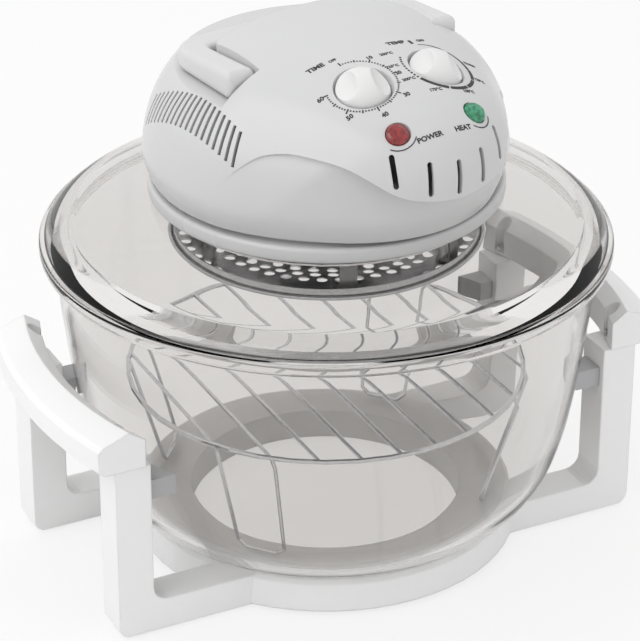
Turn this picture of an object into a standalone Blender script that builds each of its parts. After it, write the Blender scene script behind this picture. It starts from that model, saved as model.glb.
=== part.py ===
"""A countertop halogen oven: a glass bowl in a moulded stand, a round rack, and a lift-off glass lid
that carries the heating head. The origin is on the table under the bowl, +Z is up, and -Y is the front.
The lid is round and rests on the bowl, turned a few degrees, as a loose lid does."""

import math

import bmesh
import bpy
from mathutils import Matrix, Vector

MM = 0.001
GAP = 0.3 * MM
OVERRUN = 4.0 * MM
MERGE = 0.01 * MM
TURN_STEPS = 40
SMALL_STEPS = 16

# Stand
FOOT_RADIUS = 8.0 * MM
FOOT_HEIGHT = 4.5 * MM
FOOT_STANDS_OUT = 1.5 * MM
FOOT_INSET = 2.0 * MM
RING_RADIUS = 116.0 * MM
RING_TAPER = 1.5 * MM
RING_HOLE_RADIUS = 82.0 * MM
RING_LIFT = 1.0 * MM
RING_TOP = 22.0 * MM
RING_ROUND = 2.5 * MM
CHANNEL_WALL = 3.5 * MM
POST_OUTER_X = 170.0 * MM
POST_WIDTH_X = 22.0 * MM
LEG_FRONT_Y = 76.0 * MM
LEG_DEPTH_Y = 23.0 * MM
ARM_DROP = 0.8 * MM
POST_TOP = 113.0 * MM
LEG_CORNER = 7.0 * MM
LEG_FILLET = 9.0 * MM
LEG_EDGE = 4.5 * MM
ARM_SINK = 7.2 * MM

# Grips
GRIP_HALF_LENGTH = 78.0 * MM
GRIP_INNER_MID_X = 165.5 * MM
GRIP_INNER_ARC = 225.0 * MM
GRIP_OUTER_MID_X = 191.0 * MM
GRIP_OUTER_ARC = 290.0 * MM
GRIP_BASE_Z = 113.3 * MM
GRIP_INNER_Z = 131.0 * MM
GRIP_RIDGE_Z = 137.5 * MM
GRIP_OUTER_Z = 131.5 * MM
GRIP_RIDGE_SHARE = 0.34
GRIP_EDGE = 3.0 * MM
GRIP_STATIONS = 10
SCREW_RADIUS = 2.2 * MM
SCREW_LENGTH = 16.0 * MM
SCREW_HEAD_RADIUS = 4.0 * MM
SCREW_HEAD_HEIGHT = 2.4 * MM
SCREW_HEAD_ROUND = 1.0 * MM
SCREW_WELL_RADIUS = 5.0 * MM

# Bowl
BOWL_RIM_RADIUS = 168.0 * MM
BOWL_RIM_Z = 193.8 * MM
BOWL_WALL = 4.5 * MM
BOWL_SIDE_WALL = 4.3 * MM
BOWL_HEEL_RISE = 3.1 * MM
BOWL_HEEL_SHARE = 0.33
BOWL_MOUTH_RADIUS = 159.5 * MM
BOWL_FLOOR_RADIUS = 104.0 * MM
BOWL_BASE_Z = RING_TOP + GAP
BOWL_FLANGE = 7.5 * MM
BOWL_RIM_ROUND = 2.0 * MM
# Each pair is a share of the mouth radius and of the height of the wall, from the top down.
BOWL_WALL_SHARES = (
    (1.0, 0.945),
    (0.975, 0.70),
    (0.937, 0.44),
    (0.905, 0.29),
    (0.855, 0.155),
    (0.765, 0.045),
)

# Pads between the posts and the bowl
PAD_HEIGHT = 12.0 * MM
PAD_Z = 88.0 * MM
PAD_WIDTH_Y = 16.0 * MM

# Rack
RACK_RADIUS = 118.5 * MM
RACK_WIRE = 1.5 * MM
RACK_BAR = 1.2 * MM
RACK_Z = 106.0 * MM
RACK_PITCH = 22.5 * MM
RACK_BARS = 10
RACK_LEG_OVERHANG = 4.0 * MM
RACK_LEG_BEND = 5.0 * MM
RACK_FOOT_SHARE = 0.83
WIRE_STEPS = 8

# Lid glass
LID_TURN = math.radians(7.0)
LID_RADIUS = 164.6 * MM
LID_GLASS = 4.0 * MM
LID_CROWN_Z = 222.2 * MM
LID_HOLE_RADIUS = 90.0 * MM
LID_LIP_DROP = 5.0 * MM
LID_LIP_CLEARANCE = 2.0 * MM
LID_LIP_WIDTH = 4.0 * MM
LID_SHOULDER = 2.5 * MM
# Shares of the way from the shoulder in to the hole, and of the rise of the crown.
LID_DOME_SHARES = ((0.07, 0.17), (0.20, 0.37), (0.38, 0.60), (0.60, 0.82), (0.80, 0.96), (1.0, 1.0))

# Head: the disc and the housing
DISC_RADIUS = 104.0 * MM
DISC_HEIGHT = 9.5 * MM
DISC_ROUND = 2.5 * MM
NECK_CLEARANCE = 0.9 * MM
NECK_SPIGOT = 3.0 * MM
DISC_SEAT = 3.7 * MM
DISC_PAN_RADIUS = 88.0 * MM
DISC_WALL = 3.0 * MM
CREVICE = 3.5 * MM
SHAFT_HOLE_RADIUS = 9.0 * MM
HEAD_RADIUS = 107.0 * MM
SKIRT_TUCK = 4.5 * MM
SKIRT_HEIGHT = 18.0 * MM
HEAD_TOP = 326.0 * MM
HEAD_WALL = 2.5 * MM
NOSE_REACH = 130.0 * MM
NOSE_RISE = 29.5 * MM
NOSE_SPAN = math.radians(60.0)
SIDE_POWERS = (2.6, 2.5)
NOSE_POWERS = (2.25, 2.6)
CHEEK_SPAN = math.radians(72.0)
CHEEK_STEP = 4.0 * MM
CHEEK_LIP = 0.8 * MM
CHEEK_FADE_SHARE = 0.55
CHIN_REACH = 116.0 * MM
HEAD_COLUMN = math.radians(7.5)
CAVITY_COLUMN = math.radians(12.0)
ROOF_ROWS = 8
CHIN_ROWS = 4
CAVITY_ROWS = 5
# Shares of the cheek's span, and of the height of the housing: the line where the visor ends.
VISOR_EDGE_SHARES = (
    (0.0, 0.333),
    (0.11, 0.350),
    (0.217, 0.395),
    (0.33, 0.50),
    (0.43, 0.555),
    (0.60, 0.57),
    (0.71, 0.547),
    (0.79, 0.507),
    (0.87, 0.422),
    (0.955, 0.30),
    (1.0, 0.19),
)

# Grooves on the visor
GROOVE_COUNT = 5
GROOVE_PITCH = 17.2 * MM
GROOVE_Z = 279.5 * MM
GROOVE_CLIMB = 3.2 * MM
GROOVE_LENGTH = 21.0 * MM
GROOVE_WIDTH = 2.8 * MM
GROOVE_DEPTH = 2.0 * MM
GROOVE_OUTSIDE = 6.0 * MM
REACH_STEPS = 20

# Vent slots
VENT_COUNT = 19
VENT_WIDTH = 2.2 * MM
VENT_LENGTH = 20.0 * MM
VENT_DEPTH = 9.0 * MM
VENT_FIRST = math.radians(67.0)
VENT_LAST = math.radians(118.0)
VENT_CREST = math.radians(88.0)
VENT_Z = 292.0 * MM
VENT_DROP = 16.5 * MM
SLOPE_PROBE = 1.0 * MM
VENT_DROP_SPAN = math.radians(30.0)

# Carry handle
HANDLE_INNER_X = 60.0 * MM
HANDLE_ARM = 17.5 * MM
HANDLE_BAR = 20.5 * MM
HANDLE_BAR_Y = 32.0 * MM
HANDLE_PIVOT_Y = -11.0 * MM
HANDLE_FLOOR_Z = 299.6 * MM
HANDLE_HEIGHT = 16.6 * MM
HANDLE_CORNER = 24.0 * MM
HANDLE_FALL = 5.5 * MM
HANDLE_INNER_CORNER = 5.0 * MM
HANDLE_EDGE = 4.0 * MM
HANDLE_FLOOR_GAP = 0.5 * MM
HANDLE_SIDE_GAP = 1.0 * MM
HANDLE_END_GAP = 1.6 * MM
HANDLE_BLOCK_Y = 27.8 * MM
PIN_RADIUS = 2.5 * MM
PIN_LENGTH = 18.0 * MM
PIN_ARM_SHARE = 0.6

# Dials
DIAL_X = 24.8 * MM
DIAL_Y = -72.0 * MM
DIAL_TILT = math.radians(15.5)
DIAL_LEAN = math.radians(9.0)
DISH_RADIUS = 17.4 * MM
DISH_FLOOR_RADIUS = 15.9 * MM
DISH_DEPTH = 5.5 * MM
DISH_OVERRUN = 8.0 * MM
KNOB_RADIUS = 15.2 * MM
KNOB_HEIGHT = 13.0 * MM
KNOB_EDGE = 2.6 * MM
KNOB_ROWS = 6
KNOB_BAR_HALF_WIDTH = 4.6 * MM
KNOB_SCOOP_X = 13.0 * MM
KNOB_SCOOP_Y = 21.0 * MM
KNOB_SCOOP_Z = 10.0 * MM
KNOB_TURN = math.radians(-22.0)
SPINDLE_RADIUS = 3.0 * MM
SPINDLE_LENGTH = 13.0 * MM
SPINDLE_CLEARANCE = 0.6 * MM
DIAL_BODY_DROP = 4.0 * MM
TIMER_RADIUS = 17.5 * MM
TIMER_DEPTH = 26.0 * MM
THERMOSTAT_RADIUS = 15.0 * MM
THERMOSTAT_DEPTH = 20.0 * MM

# Lamps
LAMP_X = 25.3 * MM
LAMP_Y = -106.5 * MM
LAMP_TILT = math.radians(33.0)
LENS_RADIUS = 6.6 * MM
LENS_DOME = 2.2 * MM
LENS_DEPTH = 12.0 * MM

# Inside the head
MOTOR_RADIUS = 29.0 * MM
MOTOR_HEIGHT = 38.0 * MM
MOTOR_CAP_RADIUS = 16.0 * MM
MOTOR_CAP_HEIGHT = 4.0 * MM
SHAFT_RADIUS = 3.0 * MM
SHAFT_BELOW = 16.0 * MM
SHAFT_CLEARANCE = 0.5 * MM
FAN_BLADES = 6
FAN_HUB_RADIUS = 9.0 * MM
FAN_HUB_HEIGHT = 9.0 * MM
FAN_BLADE = 1.2 * MM
COOLING_RADIUS = 42.0 * MM
COOLING_BLADE_HEIGHT = 8.0 * MM
CONVECTION_RADIUS = 48.0 * MM
CONVECTION_BLADE_HEIGHT = 7.0 * MM
CONVECTION_PLATE_RADIUS = 28.8 * MM
FAN_PLATE = 1.0 * MM
SHIELD_RADIUS = 96.0 * MM
SHIELD_SHEET = 1.0 * MM
SHIELD_DROP = 4.8 * MM
SHIELD_CLEARANCE = 1.2 * MM
TUBE_RADIUS = 4.0 * MM
TUBE_RING_RADIUS = 68.0 * MM
TUBE_DROP = 14.0 * MM
TUBE_GAP_ANGLE = math.radians(16.0)
TUBE_POINTS = 24
HOLDER_SIZE = 12.0 * MM
HOLDER_HEIGHT = 8.0 * MM
HOLDER_EDGE = 1.0 * MM
SWITCH_X = -30.0 * MM
SWITCH_SIZE = (20.0 * MM, 8.0 * MM, 14.0 * MM)
PLUNGER_RADIUS = 2.5 * MM
PLUNGER_LENGTH = 14.0 * MM

# Guard under the lamp
GUARD_RADIUS = 91.9 * MM
GUARD_BEAD = 5.0 * MM
GUARD_BEAD_HEIGHT = 3.2 * MM
GUARD_BEAD_ROUND = 1.5 * MM
GUARD_BEAD_FOOT = 1.0 * MM
GUARD_SHEET_SINK = 1.7 * MM
GUARD_Z = 196.4 * MM
GUARD_SHEET = 1.0 * MM
GUARD_SINK = 3.0 * MM
GUARD_HOLE_RADIUS = 3.2 * MM
GUARD_HOLE_STEPS = 6
# Each row is a share of the guard's radius and the number of holes round it.
GUARD_ROW_SHARES = ((0.88, 36), (0.68, 26))
BRACKET_ANGLES = (25.5, 154.5, 205.5, 334.5)
BRACKET_WIDTH = 10.0 * MM
BRACKET_SHEET = 1.0 * MM
BRACKET_FOOT = 7.0 * MM
BRACKET_RADIUS = 84.0 * MM

# Cable gland
GLAND_RADIUS = 6.0 * MM
GLAND_HOLE_RADIUS = 2.8 * MM
GLAND_FLANGE = 8.5 * MM
GLAND_Z = 247.0 * MM
GLAND_STANDS_OUT = 4.0 * MM
GLAND_HOLE_DEPTH = 16.0 * MM
GLAND_SEAT = 1.2 * MM
GLAND_CHAMFER = 1.5 * MM

# Worked out from the sizes above
LEG_BASE_Z = FOOT_STANDS_OUT
DISC_BASE_Z = LID_CROWN_Z + GAP
DISC_NECK_RADIUS = HEAD_RADIUS - SKIRT_TUCK - CHEEK_STEP - HEAD_WALL - NECK_CLEARANCE
DISC_SEAT_RADIUS = DISC_NECK_RADIUS + DISC_SEAT
DISC_TOP_Z = DISC_BASE_Z + DISC_HEIGHT
HEAD_BASE_Z = DISC_TOP_Z + CREVICE
HEAD_RISE = HEAD_TOP - HEAD_BASE_Z
SHIELD_TOP_Z = LID_CROWN_Z - GAP
HANDLE_BASE_Z = HANDLE_FLOOR_Z + HANDLE_FLOOR_GAP
HANDLE_PIVOT_Z = HANDLE_BASE_Z + HANDLE_HEIGHT / 2
MOTOR_BASE_Z = HEAD_BASE_Z + GAP
SHAFT_TOP_Z = MOTOR_BASE_Z + MOTOR_HEIGHT + MOTOR_CAP_HEIGHT + FAN_HUB_HEIGHT + SHAFT_RADIUS


def fresh_scene():
    for obj in list(bpy.data.objects):
        bpy.data.objects.remove(obj, do_unlink=True)


def new_collection(name):
    collection = bpy.data.collections.new(name)
    bpy.context.scene.collection.children.link(collection)
    return collection


fresh_scene()
PARTS = new_collection("halogen_oven")
CUTTERS = new_collection("cutters")
CUTTERS.hide_render = True


def material(name, colour, roughness, metallic=0.0, alpha=1.0):
    made = bpy.data.materials.new(name)
    made.use_nodes = True
    shader = made.node_tree.nodes["Principled BSDF"]
    shader.inputs["Base Color"].default_value = (*colour, 1.0)
    shader.inputs["Roughness"].default_value = roughness
    shader.inputs["Metallic"].default_value = metallic
    shader.inputs["Alpha"].default_value = alpha
    return made


WHITE = material("white_plastic", (0.86, 0.86, 0.85), 0.25)
STAND_WHITE = material("stand_plastic", (0.84, 0.84, 0.84), 0.38)
GLASS = material("tinted_glass", (0.62, 0.58, 0.56), 0.03, alpha=0.35)
CHROME = material("chrome", (0.78, 0.78, 0.79), 0.12, 1.0)
STEEL = material("steel", (0.55, 0.55, 0.56), 0.3, 1.0)
COPPER = material("motor_steel", (0.42, 0.41, 0.40), 0.45, 1.0)
RUBBER = material("rubber", (0.30, 0.30, 0.31), 0.8)
PAD_GREY = material("pad_rubber", (0.55, 0.55, 0.55), 0.7)
CERAMIC = material("ceramic", (0.88, 0.86, 0.80), 0.6)
QUARTZ = material("quartz", (0.90, 0.88, 0.84), 0.08, alpha=0.4)
RED = material("red_lens", (0.50, 0.02, 0.02), 0.15)
GREEN = material("green_lens", (0.02, 0.35, 0.16), 0.15)
BLACK = material("black_plastic", (0.05, 0.05, 0.05), 0.5)


def add_object(name, mesh, collection):
    obj = bpy.data.objects.new(name, mesh)
    collection.objects.link(obj)
    return obj


def add_bmesh(name, bm, collection):
    bmesh.ops.recalc_face_normals(bm, faces=bm.faces)
    mesh = bpy.data.meshes.new(name)
    bm.to_mesh(mesh)
    bm.free()
    return add_object(name, mesh, collection)


def finish(obj, surface, parent=None, sharp=35.0):
    """Shades a part smooth up to the sharp angle, gives it its material and hangs it on its parent."""
    if obj.type == "MESH":
        obj.data.shade_smooth()
        obj.data.set_sharp_from_angle(angle=math.radians(sharp))
        obj.data.materials.clear()
    obj.data.materials.append(surface)
    obj.parent = parent
    return obj


def cutter(obj):
    obj.hide_render = True
    obj.display_type = "WIRE"
    return obj


def boolean(obj, other, operation="DIFFERENCE"):
    modifier = obj.modifiers.new(other.name, "BOOLEAN")
    modifier.operation = operation
    modifier.object = other
    modifier.solver = "EXACT"
    return modifier


def bevel(obj, width, segments=3, angle=40.0):
    modifier = obj.modifiers.new("rounding", "BEVEL")
    modifier.width = width
    modifier.segments = segments
    modifier.limit_method = "ANGLE"
    modifier.angle_limit = math.radians(angle)
    return modifier


def turned(name, profile, collection, closed=False, steps=TURN_STEPS):
    """A profile of (radius, height) turned about Z. It runs down the outer side, top to bottom."""
    bm = bmesh.new()
    points = [bm.verts.new((radius, 0, height)) for radius, height in profile]
    pairs = list(zip(points, points[1:]))
    if closed:
        pairs.append((points[-1], points[0]))
    for first, second in pairs:
        bm.edges.new((first, second))
    mesh = bpy.data.meshes.new(name)
    bm.to_mesh(mesh)
    bm.free()
    obj = add_object(name, mesh, collection)
    screw = obj.modifiers.new("turn", "SCREW")
    screw.axis = "Z"
    screw.angle = 2 * math.pi
    screw.steps = steps
    screw.render_steps = steps
    screw.use_merge_vertices = True
    screw.merge_threshold = MERGE
    screw.use_smooth_shade = True
    return obj


def evaluated_copy(obj, name, collection):
    """A plain mesh object of what the modifiers or the curve make, which takes the old one's place."""
    bpy.context.view_layer.update()
    graph = bpy.context.evaluated_depsgraph_get()
    mesh = bpy.data.meshes.new_from_object(obj.evaluated_get(graph))
    bm = bmesh.new()
    bm.from_mesh(mesh)
    bmesh.ops.remove_doubles(bm, verts=bm.verts, dist=MERGE)
    bm.to_mesh(mesh)
    bm.free()
    matrix = obj.matrix_world.copy()
    bpy.data.objects.remove(obj, do_unlink=True)
    made = add_object(name, mesh, collection)
    made.matrix_world = matrix
    return made


def box(name, size, centre, collection):
    bm = bmesh.new()
    bmesh.ops.create_cube(bm, size=1.0)
    bmesh.ops.scale(bm, vec=size, verts=bm.verts)
    bmesh.ops.translate(bm, vec=centre, verts=bm.verts)
    return add_bmesh(name, bm, collection)


def rod(name, radius, start, end, collection, steps=SMALL_STEPS):
    """A round bar between two points."""
    start, end = Vector(start), Vector(end)
    bm = bmesh.new()
    bmesh.ops.create_cone(
        bm,
        cap_ends=True,
        segments=steps,
        radius1=radius,
        radius2=radius,
        depth=(end - start).length,
    )
    turn = Vector((0, 0, 1)).rotation_difference(end - start)
    bm.transform(Matrix.Translation((start + end) / 2) @ turn.to_matrix().to_4x4())
    return add_bmesh(name, bm, collection)


def tube(name, points, radius, collection, steps=WIRE_STEPS, cyclic=False):
    """A wire along a list of points, as a mesh."""
    curve = bpy.data.curves.new(name, "CURVE")
    curve.dimensions = "3D"
    curve.bevel_depth = radius
    curve.bevel_resolution = steps // 4
    curve.use_fill_caps = not cyclic
    spline = curve.splines.new("POLY")
    spline.points.add(len(points) - 1)
    for point, place in zip(spline.points, points):
        point.co = (*place, 1.0)
    spline.use_cyclic_u = cyclic
    obj = add_object(name, curve, collection)
    return evaluated_copy(obj, name, collection)


def plate(name, outlines, thickness, collection):
    """Flat outlines in the XY plane, holes included, with the thickness centred on it."""
    curve = bpy.data.curves.new(name, "CURVE")
    curve.dimensions = "2D"
    curve.fill_mode = "BOTH"
    curve.extrude = thickness / 2
    for outline in outlines:
        spline = curve.splines.new("POLY")
        spline.points.add(len(outline) - 1)
        for point, (x, y) in zip(spline.points, outline):
            point.co = (x, y, 0, 1)
        spline.use_cyclic_u = True
    obj = add_object(name, curve, collection)
    return evaluated_copy(obj, name, collection)


def arc(centre, radius, start, end, count):
    """Points from one angle to another, both in degrees."""
    points = []
    for index in range(count + 1):
        angle = math.radians(start + (end - start) * index / count)
        points.append((centre[0] + radius * math.cos(angle), centre[1] + radius * math.sin(angle)))
    return points


def circle(centre, radius, count):
    return arc(centre, radius, 0.0, 360.0 * (count - 1) / count, count - 1)


def mirrored(points):
    return [(-x, y) for x, y in reversed(points)]


def empty(name, matrix, parent=None):
    obj = bpy.data.objects.new(name, None)
    PARTS.objects.link(obj)
    obj.parent = parent
    obj.matrix_world = matrix
    bpy.context.view_layer.update()
    return obj


def build_stand():
    """The ring under the bowl with its four arms and posts, moulded in one piece."""
    ring_base = LEG_BASE_Z + RING_LIFT
    ring = turned(
        "stand_base",
        [
            (RING_RADIUS - RING_TAPER - RING_ROUND, RING_TOP),
            (RING_RADIUS - RING_TAPER, RING_TOP - RING_ROUND),
            (RING_RADIUS, ring_base),
            (RING_RADIUS - CHANNEL_WALL, ring_base),
            (RING_RADIUS - RING_TAPER - CHANNEL_WALL, RING_TOP - CHANNEL_WALL),
            (RING_HOLE_RADIUS + CHANNEL_WALL, RING_TOP - CHANNEL_WALL),
            (RING_HOLE_RADIUS + CHANNEL_WALL, ring_base),
            (RING_HOLE_RADIUS, ring_base),
            (RING_HOLE_RADIUS, RING_TOP),
        ],
        PARTS,
        closed=True,
        steps=60,
    )
    legs = build_legs()
    for side in (-1, 1):
        for end in (-1, 1):
            well = rod(
                "foot_well",
                FOOT_RADIUS + GAP,
                (*foot_place(side, end), LEG_BASE_Z - OVERRUN),
                (*foot_place(side, end), FOOT_HEIGHT + GAP),
                CUTTERS,
            )
            boolean(legs, cutter(well))
            top = rod(
                "screw_well",
                SCREW_RADIUS + GAP,
                (*screw_place(side, end), POST_TOP - SCREW_LENGTH - GAP),
                (*screw_place(side, end), POST_TOP + OVERRUN),
                CUTTERS,
                steps=12,
            )
            boolean(legs, cutter(top))
    boolean(ring, cutter(legs), "UNION")
    return finish(ring, STAND_WHITE)


def foot_place(side, end):
    return (
        side * (POST_OUTER_X - POST_WIDTH_X / 2 - FOOT_INSET),
        end * (LEG_FRONT_Y - LEG_DEPTH_Y / 2),
    )


def screw_place(side, end):
    return (
        side * (POST_OUTER_X - POST_WIDTH_X / 2),
        end * (LEG_FRONT_Y - LEG_DEPTH_Y / 2),
    )


def build_legs():
    """The four arms and posts: an L outline in the XZ plane, as deep as a leg, four times over."""
    inner_x = POST_OUTER_X - POST_WIDTH_X
    start_x = RING_HOLE_RADIUS + CHANNEL_WALL / 2
    arm_top = RING_TOP - ARM_DROP
    start_x = math.sqrt(max(start_x**2 - (LEG_FRONT_Y - LEG_DEPTH_Y) ** 2, 0)) + ARM_SINK
    outline = [(start_x, LEG_BASE_Z)]
    outline += arc((POST_OUTER_X - LEG_CORNER, LEG_BASE_Z + LEG_CORNER), LEG_CORNER, -90, 0, 4)
    outline += [(POST_OUTER_X, POST_TOP), (inner_x, POST_TOP)]
    outline += arc((inner_x - LEG_FILLET, arm_top + LEG_FILLET), LEG_FILLET, 0, -90, 4)
    outline += [(start_x, arm_top)]
    one = plate("leg", [outline], LEG_DEPTH_Y, CUTTERS)
    turn = Matrix.Rotation(math.pi / 2, 4, "X")
    bm = bmesh.new()
    for side in (-1, 1):
        for end in (-1, 1):
            place = Matrix.Translation((0, end * (LEG_FRONT_Y - LEG_DEPTH_Y / 2), 0))
            before = set(bm.verts)
            bm.from_mesh(one.data)
            made = [vert for vert in bm.verts if vert not in before]
            flip = Matrix.Scale(side, 4, (1, 0, 0))
            bmesh.ops.transform(bm, matrix=place @ flip @ turn, verts=made)
    bpy.data.objects.remove(one, do_unlink=True)
    legs = add_bmesh("legs", bm, CUTTERS)
    bevel(legs, LEG_EDGE, segments=2, angle=60.0)
    return legs


def build_grip(name, side):
    """The hand grip over two posts: an arc in plan, with a low ridge nearer its inner edge."""
    bm = bmesh.new()
    sections = []
    for index in range(GRIP_STATIONS + 1):
        y = GRIP_HALF_LENGTH * (2 * index / GRIP_STATIONS - 1)
        inner = GRIP_INNER_MID_X - GRIP_INNER_ARC + math.sqrt(GRIP_INNER_ARC**2 - y**2)
        outer = GRIP_OUTER_MID_X - GRIP_OUTER_ARC + math.sqrt(GRIP_OUTER_ARC**2 - y**2)
        ridge = inner + GRIP_RIDGE_SHARE * (outer - inner)
        shape = (
            (inner, GRIP_BASE_Z),
            (outer - GRIP_EDGE, GRIP_BASE_Z),
            (outer, GRIP_BASE_Z + GRIP_EDGE),
            (outer, GRIP_OUTER_Z - GRIP_EDGE),
            (outer - GRIP_EDGE, GRIP_OUTER_Z),
            (ridge, GRIP_RIDGE_Z),
            (inner, GRIP_INNER_Z),
        )
        sections.append([bm.verts.new((side * x, y, z)) for x, z in shape])
    for first, second in zip(sections, sections[1:]):
        for index in range(len(first)):
            following = (index + 1) % len(first)
            bm.faces.new((first[index], first[following], second[following], second[index]))
    bm.faces.new(sections[0])
    bm.faces.new(reversed(sections[-1]))
    grip = add_bmesh(name, bm, PARTS)
    for end in (-1, 1):
        place = screw_place(side, end)
        hole = rod(
            "grip_hole",
            SCREW_RADIUS + GAP,
            (*place, GRIP_BASE_Z - OVERRUN),
            (*place, GRIP_RIDGE_Z + OVERRUN),
            CUTTERS,
            steps=12,
        )
        boolean(grip, cutter(hole))
        well = rod(
            "grip_well",
            SCREW_WELL_RADIUS,
            (*place, GRIP_BASE_Z + SCREW_HEAD_HEIGHT),
            (*place, GRIP_RIDGE_Z + OVERRUN),
            CUTTERS,
            steps=16,
        )
        boolean(grip, cutter(well))
    return finish(grip, STAND_WHITE)


def build_feet_pads():
    number = 0
    for side in (-1, 1):
        for end in (-1, 1):
            number += 1
            place = foot_place(side, end)
            foot = rod(f"foot_{number}", FOOT_RADIUS, (*place, 0), (*place, FOOT_HEIGHT), PARTS)
            finish(foot, RUBBER)
            build_pad(f"bowl_pad_{number}", side, end)


def bowl_outer_radius(height):
    """The outer radius of the bowl's wall at a height, read from its profile."""
    points = bowl_outer_profile()
    for (top_radius, top), (low_radius, low) in zip(points, points[1:]):
        if low <= height <= top:
            share = (height - low) / (top - low)
            return low_radius + share * (top_radius - low_radius)
    return BOWL_MOUTH_RADIUS


def build_pad(name, side, end):
    """A soft pad on a post's inner side, hollowed to the curve of the bowl."""
    y = end * (LEG_FRONT_Y - LEG_DEPTH_Y / 2)
    radius = bowl_outer_radius(PAD_Z + PAD_HEIGHT) + GAP
    outer = POST_OUTER_X - POST_WIDTH_X - GAP
    edge = []
    steps = 6
    for index in range(steps + 1):
        along = y - PAD_WIDTH_Y / 2 + PAD_WIDTH_Y * index / steps
        edge.append((side * math.sqrt(radius**2 - along**2), along))
    outline = [(side * outer, y - PAD_WIDTH_Y / 2), *edge, (side * outer, y + PAD_WIDTH_Y / 2)]
    pad = plate(name, [outline], PAD_HEIGHT, PARTS)
    pad.location.z = PAD_Z + PAD_HEIGHT / 2
    return finish(pad, PAD_GREY)


def bowl_outer_profile():
    rise = BOWL_RIM_Z - BOWL_BASE_Z
    return [
        (BOWL_MOUTH_RADIUS * radius, BOWL_BASE_Z + rise * height)
        for radius, height in BOWL_WALL_SHARES
    ] + [(BOWL_FLOOR_RADIUS, BOWL_BASE_Z)]


def build_bowl():
    outer = bowl_outer_profile()
    under = BOWL_RIM_Z - BOWL_FLANGE
    floor = BOWL_BASE_Z + BOWL_WALL
    profile = [(0, floor), (BOWL_FLOOR_RADIUS - BOWL_WALL / 2, floor)]
    for radius, height in reversed(outer[:-1]):
        climb = (height - BOWL_BASE_Z) / (BOWL_RIM_Z - BOWL_BASE_Z)
        lift = BOWL_HEEL_RISE * max(0.0, 1 - climb / BOWL_HEEL_SHARE)
        profile.append((radius - BOWL_SIDE_WALL, height + lift))
    profile += [
        (BOWL_MOUTH_RADIUS - BOWL_WALL, BOWL_RIM_Z - BOWL_RIM_ROUND),
        (BOWL_MOUTH_RADIUS - BOWL_WALL + BOWL_RIM_ROUND, BOWL_RIM_Z),
        (BOWL_RIM_RADIUS - BOWL_RIM_ROUND, BOWL_RIM_Z),
        (BOWL_RIM_RADIUS, BOWL_RIM_Z - BOWL_RIM_ROUND),
        (BOWL_RIM_RADIUS, under + BOWL_RIM_ROUND),
        (BOWL_RIM_RADIUS - BOWL_RIM_ROUND, under),
    ]
    profile += outer
    profile.append((0, BOWL_BASE_Z))
    bowl = turned("glass_bowl", profile, PARTS)
    return finish(bowl, GLASS)


def build_rack():
    """A ring, parallel bars across it, and the end bars bent down into four U-shaped legs."""
    ring = [(x, y, RACK_Z) for x, y in circle((0, 0), RACK_RADIUS, 40)]
    rack = tube("wire_rack", ring, RACK_WIRE, PARTS, cyclic=True)
    low = BOWL_BASE_Z + BOWL_WALL + GAP + RACK_BAR
    half = (RACK_BARS - 1) / 2
    for index in range(RACK_BARS):
        x = RACK_PITCH * (index - half)
        if 1 < index < RACK_BARS - 2:
            reach = math.sqrt(RACK_RADIUS**2 - x**2)
            points = [(x, -reach, RACK_Z), (x, reach, RACK_Z)]
            bar = tube("rack_bar", points, RACK_BAR, CUTTERS)
            boolean(rack, cutter(bar), "UNION")
    for side in (-1, 1):
        near = side * RACK_PITCH * (half - 1)
        far = side * RACK_PITCH * half
        bend = RACK_LEG_BEND
        points = []
        for end in (-1, 1):
            corners = []
            for x in (near, far):
                reach = end * (math.sqrt(RACK_RADIUS**2 - x**2) + RACK_LEG_OVERHANG)
                corners.append((Vector((x, reach)), Vector((x, reach)) * RACK_FOOT_SHARE))
            (near_top, near_foot), (far_top, far_foot) = corners
            along = (far_foot - near_foot).normalized() * bend
            leg = [
                (near, near_top.y - end * bend, RACK_Z),
                (*near_top, RACK_Z - bend),
                (*near_foot, low + bend),
                (*(near_foot + along), low),
                (*(far_foot - along), low),
                (*far_foot, low + bend),
                (*far_top, RACK_Z - bend),
                (far, far_top.y - end * bend, RACK_Z),
            ]
            points += leg if end < 0 else list(reversed(leg))
        legs = tube("rack_legs", points, RACK_BAR, CUTTERS, cyclic=True)
        boolean(rack, cutter(legs), "UNION")
    return finish(rack, CHROME)


def build_lid_glass(lid):
    base = BOWL_RIM_Z + GAP
    shoulder = base + LID_SHOULDER
    rise = LID_CROWN_Z - shoulder
    span = LID_RADIUS - LID_HOLE_RADIUS
    outer = [(LID_RADIUS, base), (LID_RADIUS, shoulder - LID_SHOULDER / 2)]
    for inward, up in LID_DOME_SHARES:
        outer.append((LID_RADIUS - span * inward, shoulder + rise * up))
    outer.reverse()
    lip_outer = BOWL_MOUTH_RADIUS - BOWL_WALL - LID_LIP_CLEARANCE
    lip_inner = lip_outer - LID_LIP_WIDTH
    inner = [
        (lip_outer, base),
        (lip_outer, base - LID_LIP_DROP),
        (lip_inner, base - LID_LIP_DROP),
        (lip_inner, shoulder),
    ]
    for inward, up in LID_DOME_SHARES[1:]:
        radius = LID_RADIUS - span * inward
        if radius < lip_inner:
            inner.append((radius, shoulder + rise * up - LID_GLASS))
    glass = turned("glass_lid", outer + inner, PARTS, closed=True)
    return finish(glass, GLASS, lid)


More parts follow.
